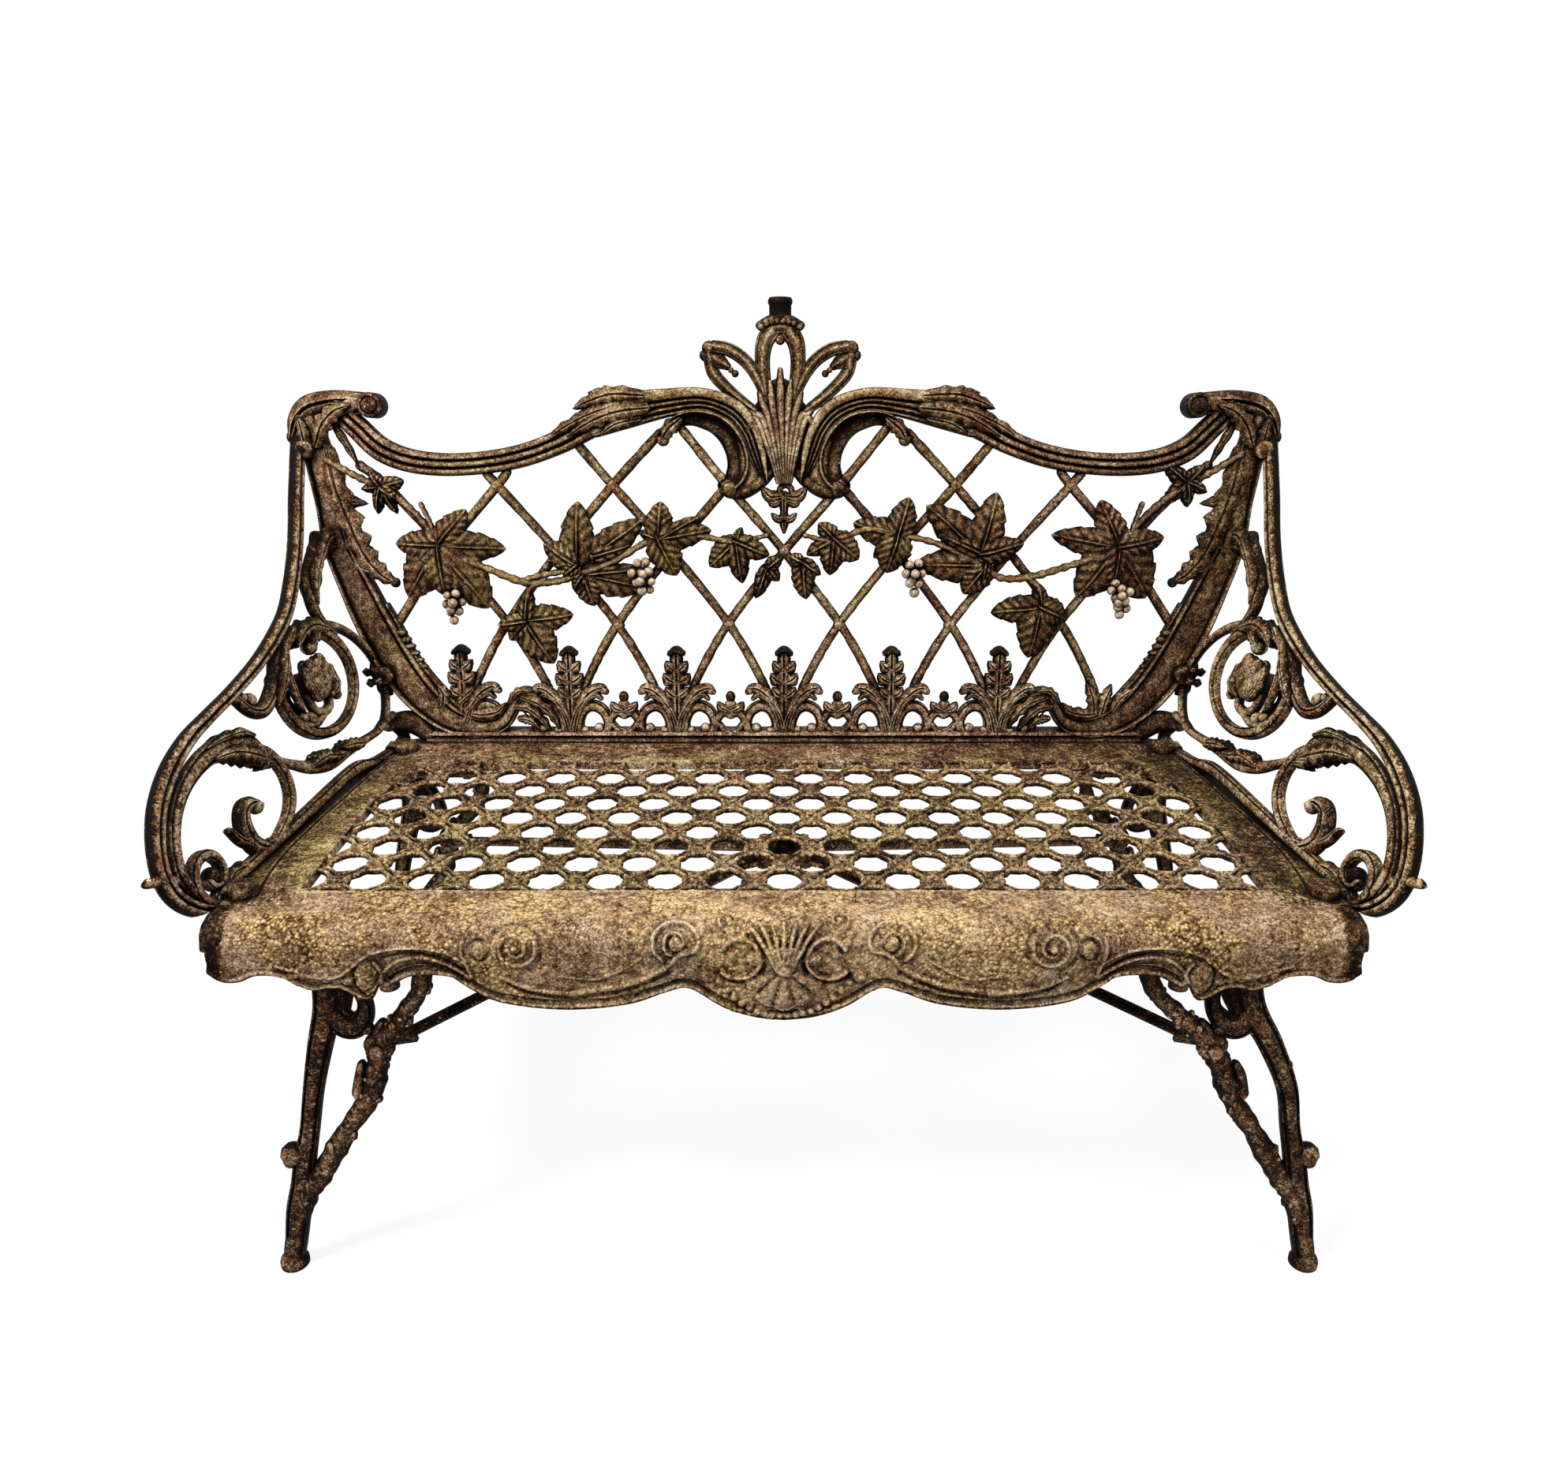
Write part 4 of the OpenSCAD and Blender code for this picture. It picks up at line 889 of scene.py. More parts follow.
# %% Leaves of the vine
vine = Casting(on_back)
LEAVES = [
    (-493, 320, [(-466, 328, 22), (-506, 338, 18), (-500, 288, 18), (-477, 288, 16),
                 (-518, 318, 14), (-474, 306, 18)]),
    (-428, 250, [(-347, 245, 42), (-393, 293, 38), (-482, 252, 38), (-473, 186, 58),
                 (-372, 172, 66), (-424, 188, 50)]),
    (-326, 156, [(-266, 164, 38), (-320, 198, 24), (-360, 152, 26), (-293, 102, 50),
                 (-347, 132, 30)]),
    (-258, 226, [(-254, 303, 46), (-299, 252, 36), (-276, 212, 22), (-296, 232, 20)]),
    (-238, 236, [(-175, 281, 40), (-190, 250, 26)]),
    (-250, 213, [(-168, 199, 44), (-238, 175, 36), (-264, 196, 20), (-176, 222, 24)]),
    (-156, 258, [(-152, 303, 38), (-90, 268, 36), (-134, 213, 44), (-180, 266, 18),
                 (-104, 284, 20)]),
    (-60, 254, [(-93, 224, 36), (-52, 203, 30), (-18, 238, 30), (-52, 272, 14)]),
    (-20, 224, [(-36, 184, 22), (-6, 206, 20), (-2, 236, 20)]),
    (22, 230, [(28, 183, 32), (46, 214, 20), (6, 238, 18)]),
    (62, 258, [(28, 238, 24), (57, 213, 34), (93, 233, 38), (43, 277, 26)]),
    (140, 260, [(86, 277, 38), (154, 308, 38), (128, 216, 46), (112, 234, 24)]),
    (244, 240, [(176, 298, 48), (262, 314, 46), (298, 252, 32), (282, 232, 22),
                (196, 262, 26)]),
    (250, 226, [(164, 226, 46), (225, 190, 40), (246, 204, 20)]),
    (322, 174, [(261, 166, 38), (311, 109, 50), (355, 158, 38), (320, 203, 24)]),
    (414, 248, [(333, 262, 38), (389, 305, 40), (471, 260, 38), (367, 187, 60),
                (453, 185, 70), (412, 194, 50)]),
    (492, 326, [(465, 347, 22), (512, 346, 20), (518, 314, 18), (468, 300, 22),
                (496, 296, 20)]),
]
for i, (cx, cy, tips) in enumerate(LEAVES):
    vine_leaf(vine, cx, cy, tips, lift=8.5, seed=20 + i)

STEMS = [
    [[-556, 352, 8], [-528, 336, 9], [-500, 322, 9], [-470, 304, 9], [-446, 280, 8],
     [-428, 252, 8]],
    [[-428, 250, 7], [-404, 236, 9], [-370, 222, 9], [-325, 205, 10], [-285, 206, 9],
     [-250, 216, 9], [-210, 232, 9], [-160, 258, 8], [-110, 262, 8], [-60, 254, 7],
     [-22, 262, 6]],
    [[-300, 208, 8], [-318, 196, 8], [-324, 174, 8]],
    [[-330, 206, 7], [-300, 214, 8], [-262, 220, 7]],
    [[556, 360, 8], [528, 342, 9], [500, 326, 9], [468, 306, 9], [440, 280, 8],
     [418, 250, 8]],
    [[416, 246, 7], [388, 236, 9], [352, 224, 9], [310, 212, 10], [272, 210, 9],
     [244, 226, 9], [196, 250, 8], [150, 262, 8], [104, 270, 8], [60, 256, 7], [26, 262, 6]],
    [[302, 212, 8], [318, 198, 8], [322, 178, 8]],
    [[440, 300, 7], [432, 276, 6], [424, 252, 6]],
    [[-446, 300, 6], [-436, 276, 6], [-430, 254, 6]],
    [[-414, 212, 6], [-410, 200, 6], [-410, 188, 5]],
    [[420, 214, 6], [420, 204, 6], [420, 192, 5]],
]
stem_rng = np.random.default_rng(9)
for line in STEMS:
    p = smooth(line, 10)
    waves = 1 + 0.16 * np.sin(np.arange(len(p)) * 1.9) + stem_rng.uniform(-.06, .06, len(p))
    sweep(vine, p, ROUND, 9, 9.5, waves)
print("vine:", vine.total, "points")

# %% Bunches of grapes
fruit = Casting(on_back)
bunch(fruit, [(-421, 190), (-409, 192), (-401, 181), (-424, 178), (-412, 180), (-419, 167),
              (-407, 169), (-414, 157)], 5.8, seed=31)
bunch(fruit, [(-183, 229), (-171, 231), (-191, 217), (-179, 217), (-167, 219), (-185, 205),
              (-173, 206), (-163, 206), (-177, 194), (-166, 195)], 5.9, seed=32)
bunch(fruit, [(155, 227), (168, 229), (150, 216), (162, 216), (173, 216), (156, 204),
              (168, 203), (163, 191)], 6.0, seed=33)
bunch(fruit, [(412, 205), (406, 196), (420, 198), (432, 194), (412, 186), (426, 182),
              (418, 174), (430, 172), (421, 164)], 5.9, seed=34)

rails.build("back_frame", back_iron, "frame_iron", "back_panel")
crest.build("back_crest", back_iron, "frame_iron")
feet.build("back_fleurons", plant_iron, "frame_iron")
ledge.build("back_ledge", rim_iron, "frame_iron")
canes.build("back_trellis", cane_iron, "frame_iron")
vine.build("back_vine", leaf_iron, "frame_iron")
fruit.build("back_grapes", fruit_iron, "frame_iron")

# %% [markdown]
# ## The arms
# An arm is one open casting: a double-moulded rail falls from the ear in an S to a
# front scroll, a leafy C-scroll lies inside it, and a stem runs back to a ring with a
# bud. An arm is seen from both sides, so its sections are alike front and back. Both
# arms are built from one set of curves, the right one mirrored.

# %% Curves of an arm
ARM_RAIL = [[-58, 394, 17], [-20, 350, 18], [5, 321, 18], [30, 290, 18], [56, 262, 18],
            [84, 236, 18], [114, 213, 17], [148, 196, 17], [200, 178, 15], [260, 164, 14],
            [310, 155, 14], [352, 146, 16], [392, 130, 18], [425, 108, 18], [447, 82, 17],
            [459, 56, 17], [460, 34, 18], [450, 14, 17], [432, -2, 14], [412, -8, 11]]
ARM_INNER = [[258, 92, 12], [270, 108, 20], [298, 120, 23], [340, 122, 20], [380, 112, 17],
             [410, 94, 15], [430, 70, 14], [440, 44, 14], [438, 22, 13]]
ARM_BACK = [[262, 100, 12], [247, 86, 13], [238, 62, 14], [243, 38, 14], [262, 20, 12],
            [292, 8, 11], [304, 10, 8]]
ARM_STEM = [[262, 96, 10], [238, 76, 10], [216, 62, 12], [190, 48, 16], [152, 38, 18],
            [110, 37, 16], [70, 34, 11], [30, 33, 10], [6, 42, 11], [-14, 64, 11],
            [-24, 92, 14], [-17, 120, 11], [0, 145, 11], [24, 165, 12], [52, 178, 13],
            [86, 186, 14], [112, 188, 12]]
ARM_BASE = [[-46, 18, 24], [-32, 28, 18], [-10, 36, 13], [14, 37, 11], [34, 33, 10]]
ARM_FOOT = [[-46, 8, 22], [-26, 4, 14], [4, 1, 10], [40, 1, 10], [76, 5, 12], [104, 11, 16],
            [150, 12, 15], [240, 8, 14], [320, 5, 14], [400, 2, 13], [416, -4, 9]]
ARM_LEAF = [[-30, 258, 14], [-6, 262, 24], [22, 248, 30], [48, 226, 30], [60, 204, 20],
            [56, 184, 12], [44, 166, 12]]
ARM_CURL = [[122, 190, 14], [150, 176, 18], [176, 158, 24], [202, 141, 22], [226, 132, 18],
            [246, 138, 15], [258, 152, 12], [262, 162, 10]]
RING_MID = (113.0, 126.0)


def make_arm(place):
    a = Casting(place)
    for line, steps, section, thick in (
            (ARM_RAIL, 9, TWIN_REEDS, 16), (ARM_INNER, 9, TWIN_SCROLL, 15),
            (ARM_BACK, 8, TWIN_SCROLL, 14), (ARM_STEM, 7, ROUND, 12),
            (ARM_FOOT, 8, TWIN_SCROLL, 15), (ARM_BASE, 8, ROUND, 12),
            (ARM_LEAF, 8, TWIN_LEAF, 15), (ARM_CURL, 8, TWIN_LEAF, 15)):
        sweep(a, smooth(line, steps), section, thick)
    # the ring
    turn = np.linspace(0, 2 * math.pi * 1.02, 84)
    ring = np.stack([RING_MID[0] + 78 * np.cos(turn), RING_MID[1] + 59 * np.sin(turn),
                     13 + 2.5 * np.cos(turn * 2 + 1)], 1)
    sweep(a, ring, TWIN_SCROLL, 14)
    # leaf pieces on both faces
    for q in (1, -1):
        for line, wide, n in (
                ([[262, 88, 5], [282, 100, 8], [306, 112, 8], [336, 118, 5]], 24, 6),
                ([[258, 84, 4], [270, 88, 6], [284, 92, 3]], 14, 3),
                ([[252, 78, 3], [264, 82, 5], [274, 80, 3]], 12, 3),
                ([[264, 116, 4], [284, 126, 7], [312, 130, 5], [340, 130, 3]], 12, 3),
                ([[62, 176, 5], [86, 186, 8], [112, 184, 8], [128, 172, 4]], 24, 5),
                ([[76, 178, 4], [92, 172, 7], [106, 164, 4]], 18, 3),
                ([[84, 34, 5], [108, 42, 8], [128, 46, 5]], 18, 4),
                ([[190, 50, 4], [166, 50, 8], [144, 42, 8], [122, 38, 4]], 18, 5),
                ([[180, 56, 3], [160, 52, 6], [146, 50, 3]], 12, 3),
                ([[150, 178, 5], [172, 158, 9], [192, 140, 8], [206, 128, 4]], 20, 4),
                ([[160, 160, 3], [168, 142, 6], [170, 120, 6], [164, 104, 3]], 18, 4),
                ([[-16, 90, 4], [-28, 100, 6], [-40, 112, 3]], 14, 3),
                ([[-14, 96, 4], [-4, 100, 6], [4, 104, 3]], 12, 2),
                ([[-14, 84, 4], [-2, 86, 6], [6, 88, 3]], 12, 2),
                ([[-20, 80, 4], [-28, 72, 6], [-36, 62, 3]], 12, 2),
                ([[-40, 268, 4], [-16, 270, 8], [8, 256, 7], [24, 240, 4]], 24, 3),
                ([[10, 252, 5], [32, 242, 8], [50, 224, 8], [56, 204, 4]], 22, 2),
                ([[-44, 14, 5], [-34, 24, 8], [-24, 30, 4]], 20, 4)):
            blade(a, [(x, y, q * z) for x, y, z in line], wide, n, 0.32, 9,
                  section=TWIN_LEAF)
    ball(a, -26, 92, 0, 12, flat=0.95)
    # lump of the foot that carries the arm on the seat and the back
    for x, y, r in ((-34, 20, 14), (-42, 10, 13)):
        ball(a, x, y, 0, r, flat=0.6, around=16)
    # bud inside the ring: a lumpy head on a hooked stalk
    bud_rng = np.random.default_rng(17)
    ball(a, 112, 128, 0, 34, tall=0.74, flat=0.34, around=20)
    for k in range(15):
        t = k * 2.39996
        r = 27 * math.sqrt((k + 0.5) / 15)
        for q in (1, -1):
            ball(a, 112 + r * math.cos(t), 130 + 0.7 * r * math.sin(t),
                 q * (7.0 - 0.005 * r * r), bud_rng.uniform(7.5, 11.0), flat=0.62, around=12,
                 dirt_and_shade=0.12)
    for q in (1, -1):
        for line, wide in (([(84, 132, 5), (92, 112, 9), (108, 104, 5)], 20),
                           ([(138, 140, 5), (140, 122, 8), (130, 106, 5)], 18)):
            blade(a, [(x, y, q * z) for x, y, z in line], wide, 3, 0.3, 9,
                  section=TWIN_LEAF)
    sweep(a, smooth([[132, 128, 14], [142, 116, 13], [140, 100, 12], [126, 92, 12],
                     [110, 94, 11], [104, 104, 9]], 7), ROUND, 12)
    sweep(a, smooth([[126, 90, 10], [146, 86, 12], [166, 90, 11], [184, 102, 10]], 7),
          ROUND, 11)
    for x, y, r in ((86, 100, 6), (154, 94, 8), (166, 100, 7), (100, 164, 9), (240, 148, 8),
                    (250, 154, 6)):
        ball(a, x, y, 0, r, flat=1.1)
    # front volute and the curled bud in the scroll
    sweep(a, spiral(404, 22, 30, 9, -75, 330, 13, 9), TWIN_SCROLL, 15)
    ball(a, 404, 21, 0, 9.5, flat=1.0, around=16, dirt_and_shade=0.5)
    sweep(a, smooth([[298, 50, 9], [309, 57, 15], [325, 54, 23], [333, 38, 28],
                     [330, 20, 26], [316, 8, 17], [304, 4, 11]], 8), TWIN_LEAF, 16)
    ball(a, 302, 50, 0, 8.5)
    sweep(a, smooth([[332, 20, 14], [346, 32, 13], [354, 46, 8]], 7), TWIN_LEAF, 13)
    blade(a, [(344, 2, 0), (372, 10, 0), (396, 6, 0)], 16, 3, 0.3, 14, section=TWIN_LEAF)
    sweep(a, smooth([[450, 40, 13], [466, 49, 12], [480, 53, 8]], 6), ROUND, 11)
    ball(a, 478, 53, 0, 5)
    return a


def seat_pads(side):
    """Round feet of an arm on the seat, in the bench's own frame."""
    casting = Casting(as_is)
    for x, y in ((530, -214), (482, 164)):
        profile = ((430, 15), (438, 15), (441, 13.5), (442.2, 10))
        casting.tube(turned(-side * x, y, profile), 0.2)
        box = [(dx, dz) for dx, dz in ((-13, 430), (-13, 437), (-11, 439.5), (11, 439.5),
                                       (13, 437), (13, 430))]
        x0 = -side * (x + (6 if y < 0 else 10))
        casting.tube([[(x0 + dx, yy, dz) for dx, dz in box] for yy in (y - 9, y, y + 9)])
    return casting


def back_pads(side):
    """Round lugs that carry an arm on the back's stile."""
    casting = Casting(on_back)
    for u, v in ((580, 364), (507, 88)):
        casting.tube(turned(-side * u, v, ((7, 11), (18, 11), (20.4, 9), (21, 5))))
    return casting


for side, place, name in ((1, on_arm, "arm_left"), (-1, on_right_arm, "arm_right")):
    arm = make_arm(place)
    arm.build(name + "_cast", arm_iron, "frame_iron", name)
    seat_pads(side).build(name + "_pads", pad_iron, "frame_iron")
    back_pads(side).build(name + "_lugs", leg_iron, "frame_iron")

# %% [markdown]
# ## The seat's grille
# Holes stand in staggered rows, each inside a raised eight-sided ring. The rings touch
# on the slant, and between two holes of a row lies a short link with an oval dimple. The
# plan repeats, so one cell of the pattern is worked out and laid down at every hole; the
# points on the shared borders are merged so that the surface runs through.

# %% One cell of the grille
PITCH, ROW, HOLE_W, HOLE_L = 60.0, 37.4, 34.4, 38.2
even = np.arange(48) * math.pi / 24
cell_a = even - 0.22 * np.sin(2 * even)


def border(a):
    """Distance from a hole's middle to the border of its cell."""
    best = np.full(a.shape, 1e9)
    for x, y in ((PITCH, 0), (PITCH / 2, ROW)):
        for sx in (1, -1):
            for sy in (1, -1):
                d = x * sx * np.cos(a) + y * sy * np.sin(a)
                far = (x * x + y * y) / 2 / np.maximum(d, 1e-3)
                best = np.minimum(best, np.where(d > 1e-3, far, 1e9))
    return best


def link_height(x, y):
    """A small oval boss in a groove, in the middle of a link."""
    e = np.sqrt(((np.abs(x) - PITCH / 2) / 5.4) ** 2 + (y / 6.2) ** 2)
    return 1.2 * np.exp(-(e / 0.55) ** 4) - 2.0 * np.exp(-((e - 0.95) / 0.26) ** 2)


eight = 1 / np.cos((cell_a + math.pi / 8) % (math.pi / 4) - math.pi / 8)
eight = np.minimum(eight, 1.075)
oval = HOLE_W / 2 * HOLE_L / 2 / np.hypot(HOLE_L / 2 * np.cos(cell_a),
                                          HOLE_W / 2 * np.sin(cell_a))
hole_r = oval * eight
edge_r = border(cell_a)
room = np.minimum(edge_r - hole_r, 5.4)
TOP = SEAT_Z - 2.0
rings = [(hole_r + 1.4, -4.2), (hole_r + 0.2, -2.6), (hole_r, -0.4)]
for k, z in ((0.3, 1.5), (0.52, 2.3), (0.76, 1.7), (1.0, -0.9)):
    rings.append((hole_r + room * k, z))
cell = [np.stack([r * np.cos(cell_a), r * np.sin(cell_a), np.full(48, z)], 1)
        for r, z in rings]
for k in (0.36, 0.7, 1.0):
    r = hole_r + room + (edge_r - hole_r - room) * k
    x, y = r * np.cos(cell_a), r * np.sin(cell_a)
    cell.append(np.stack([x, y, -1.1 + link_height(x, y)], 1))
cell.append(np.stack([edge_r * np.cos(cell_a), edge_r * np.sin(cell_a),
                      np.full(48, -5.6)], 1))
cell = np.array(cell)
# painted shade on the walls of a hole, on the underside and in the groove round its ring
cell_soot = np.repeat([0.9, 0.8, 0.4, 0.05, 0, 0, 0.25, 0.15, 0.15, 0.2, 0.9], 48)
print("a cell has", cell.shape[0], "rings of", cell.shape[1], "points")

# %% Lay the cells
FIELD = [(-405, 126), (-440, 112), (-462, 70), (-474, 0), (-478, -100), (-478, -214),
         (478, -214), (478, -100), (474, 0), (462, 70), (440, 112), (405, 126)]


def inside(x, y, poly=FIELD):
    hit = False
    for (x0, y0), (x1, y1) in zip(poly, poly[1:] + poly[:1]):
        if (y0 > y) != (y1 > y) and x < (x1 - x0) * (y - y0) / (y1 - y0) + x0:
            hit = not hit
    return hit


corners = [(edge_r[i] * math.cos(cell_a[i]), edge_r[i] * math.sin(cell_a[i]))
           for i in range(0, 48, 4)]
spots = []
for n in range(-1, 9):
    for k in range(-8, 9):
        x = k * PITCH + (PITCH / 2 if n % 2 == 0 else 0)
        y = 80.6 - n * ROW
        if inside(x, y) or any(inside(x + a, y + b) for a, b in corners):
            spots.append((x, y))
points, quads = [], []
m, per = 48, cell.size // 3
# skin between rings; the last pair closes the underside
pairs = [(r, r + 1) for r in range(len(cell) - 2)] + [(len(cell) - 1, 0)]
for i, (x, y) in enumerate(spots):
    points.append(cell.reshape(-1, 3) + [x, y, TOP])
    base = i * per
    for lo, hi in pairs:
        quads += [[base + lo * m + j, base + lo * m + (j + 1) % m,
                   base + hi * m + (j + 1) % m, base + hi * m + j] for j in range(m)]
points = np.vstack(points)
_, first, back_to = np.unique(np.round(points * 50).astype(int), axis=0, return_index=True,
                              return_inverse=True)
back_to = back_to.ravel()
grille = Casting(as_is)
merged = [[int(back_to[i]) for i in q] for q in quads]
merged = [q for q in merged if len(set(q)) == 4]
# no casting is even: the holes wander a little, and crust makes the rings lumpy
skin = points[first]
x, y, z = skin.T
grit_rng = np.random.default_rng(61)
grit = grit_rng.uniform(-0.3, 0.5, len(skin))
skin = np.stack([x + 0.7 * np.sin(y * 0.34 + 2 * np.sin(x * 0.17)),
                 y + 0.7 * np.sin(x * 0.38 + 2 * np.sin(y * 0.19)),
                 z + np.where(z > TOP - 2, grit, 0)], 1)
grille.shell(skin, merged, closed=False,
             soot=np.tile(cell_soot, len(spots))[first])
print("grille holes:", len(spots))

# %% [markdown]
# ## The seat's rim
# A smooth border runs round the grille at the sides and the back. It has a fine groove,
# a rounded outer edge and a short skirt. One section follows matching points on the
# grille's border and on the seat's outline.

# %% The rim as one strip
RIM_IN = [(0, 126), (-200, 126), (-380, 126), (-418, 122), (-440, 111), (-453, 92),
          (-462, 66), (-470, 30), (-474, 0), (-476, -50), (-478, -100), (-478, -160),
          (-478, -236)]
RIM_OUT = [(0, 216), (-230, 216), (-448, 216), (-480, 210), (-500, 196), (-511, 176),
           (-524, 130), (-540, 60), (-547, 10), (-552, -30), (-559, -110), (-557, -180),
           (-550, -236)]
a_in = smooth([(x, y, 0) for x, y in RIM_IN], 12)[:, :2]
a_out = smooth([(x, y, 0) for x, y in RIM_OUT], 12)[:, :2]
rim = Casting(as_is)
rows = []
for p, q in zip(a_in, a_out):
    d = q - p
    w = np.linalg.norm(d)
    d = d / w
    section = [(0, -10.4), (0, -1.6), (0.6, -0.2), (1.8, 0.4), (w * 0.3, 0.4), (w - 41, 0.3),
               (w - 39.6, 1.1), (w - 38, 0.9), (w - 37, -0.8), (w - 35.5, -1.0),
               (w - 34.4, 0.8), (w - 33, 1.2), (w - 31, 0.3), (w - 16, 0.2), (w - 12, 0.9),
               (w - 7, 1.0), (w - 3.2, -0.8), (w - 1, -3.6), (w, -7.5), (w, -22),
               (w - 1, -25), (w - 4, -26), (w - 8, -25), (w - 9.5, -22), (w - 9.5, -10.4)]
    rows.append([(p[0] + d[0] * s, p[1] + d[1] * s, SEAT_Z + z) for s, z in section])
rows = np.array(rows)
mirror = rows[::-1].copy()
mirror[:, :, 0] *= -1
rim.tube(np.concatenate([mirror[:-1], rows]))
# bosses under the seat: for the leg flanges and the middle disc
for x, y in ((365, -257), (411, -257), (411, 177), (457, 177)):
    for q in (1, -1):
        rim.tube(turned(q * x, y, ((402, 13), (412, 13), (423, 13)), 20))
rim.tube(turned(0, -69, ((410, 11.5), (416, 11.5), (421, 11.5), (427, 10), (429.5, 6)), 20))
print("rim:", rim.total, "points")

# %% [markdown]
# ## Nose and apron
# The front edge rolls over a round nose and hangs down as an apron with a wavy edge. Its
# relief is drawn on the unrolled sheet: x across, and q, the way down from the top of
# the nose in millimetres. Ridges follow curves, volutes are spiral ridges round a ball,
# a shell fans in the middle, and crusts of lichen stand a millimetre proud.

# %% Sheet of the apron
# the nose is a quarter round about this line, and the apron hangs below its front
NOSE_R, NOSE_Y = 26.0, -254.0
NOSE_Z = SEAT_Z - NOSE_R
FRONT_Y = NOSE_Y - NOSE_R
ARC = NOSE_R * math.pi / 2
APRON_LOW = [(0, 100), (30, 96), (60, 84), (90, 64), (112, 68), (150, 82), (210, 88),
             (270, 80), (300, 63), (314, 52), (334, 49), (356, 51), (376, 62), (384, 60),
             (394, 76), (404, 76), (418, 66), (432, 64), (446, 67), (462, 61), (476, 52),
             (500, 50), (518, 57), (534, 57), (545, 48)]
low_curve = smooth([(x, y, 0) for x, y in APRON_LOW], 10)[:, :2]
cols = np.linspace(-545, 545, 800)


def front_q(z_drop):
    """Unrolled distance of a point that hangs z_drop below the seat's top."""
    return ARC + z_drop - NOSE_R


low_q = front_q(np.interp(np.abs(cols), low_curve[:, 0], low_curve[:, 1]))
FLAT_ROWS, ARC_ROWS, WALL_ROWS = 10, 26, 66
q_flat = np.linspace(-48, 0, FLAT_ROWS, endpoint=False)
q_arc = np.linspace(0, ARC, ARC_ROWS, endpoint=False)
wall = np.linspace(0, 1, WALL_ROWS)
Q = np.concatenate([np.tile(q_flat, (len(cols), 1)), np.tile(q_arc, (len(cols), 1)),
                    ARC + (low_q - ARC)[:, None] * wall[None, :]], 1)
X = np.tile(cols[:, None], (1, Q.shape[1]))
relief = np.zeros(X.shape)


def stroke(line, h, steps=10, power=0.6):
    """Raises a rounded ridge along a curve of x, q, width."""
    for a, b, w, _ in smooth(line, steps):
        near = (np.abs(X - a) < w) & (np.abs(Q - b) < w)
        d = np.hypot(X[near] - a, Q[near] - b) / (w / 2)
        relief[near] = np.maximum(relief[near], h * np.clip(1 - d * d, 0, 1) ** power)


def scratch(line, h, steps=10):
    """Cuts a narrow groove along a curve of x, q, width."""
    for a, b, w, _ in smooth(line, steps):
        near = (np.abs(X - a) < w) & (np.abs(Q - b) < w)
        d = np.hypot(X[near] - a, Q[near] - b) / (w / 2)
        cut = -h * np.clip(1 - d * d, 0, 1)
        relief[near] = np.where(relief[near] < 0.8, np.minimum(relief[near], cut),
                                relief[near])


def dome(cx, cq, rx, rq, h, power=0.5):
    near = (np.abs(X - cx) < rx) & (np.abs(Q - cq) < rq)
    d = ((X[near] - cx) / rx) ** 2 + ((Q[near] - cq) / rq) ** 2
    relief[near] = np.maximum(relief[near], h * np.clip(1 - d, 0, 1) ** power)


# %% [markdown]
# ## Relief of the apron
# Each half has, from the end inward: a scroll leaf that hangs below the edge, an arch
# with a lip, an oval bead, a volute, and a band that follows the edge and climbs round
# a second volute. Two lobes hold the beaded shell in the middle, with ribs above it.

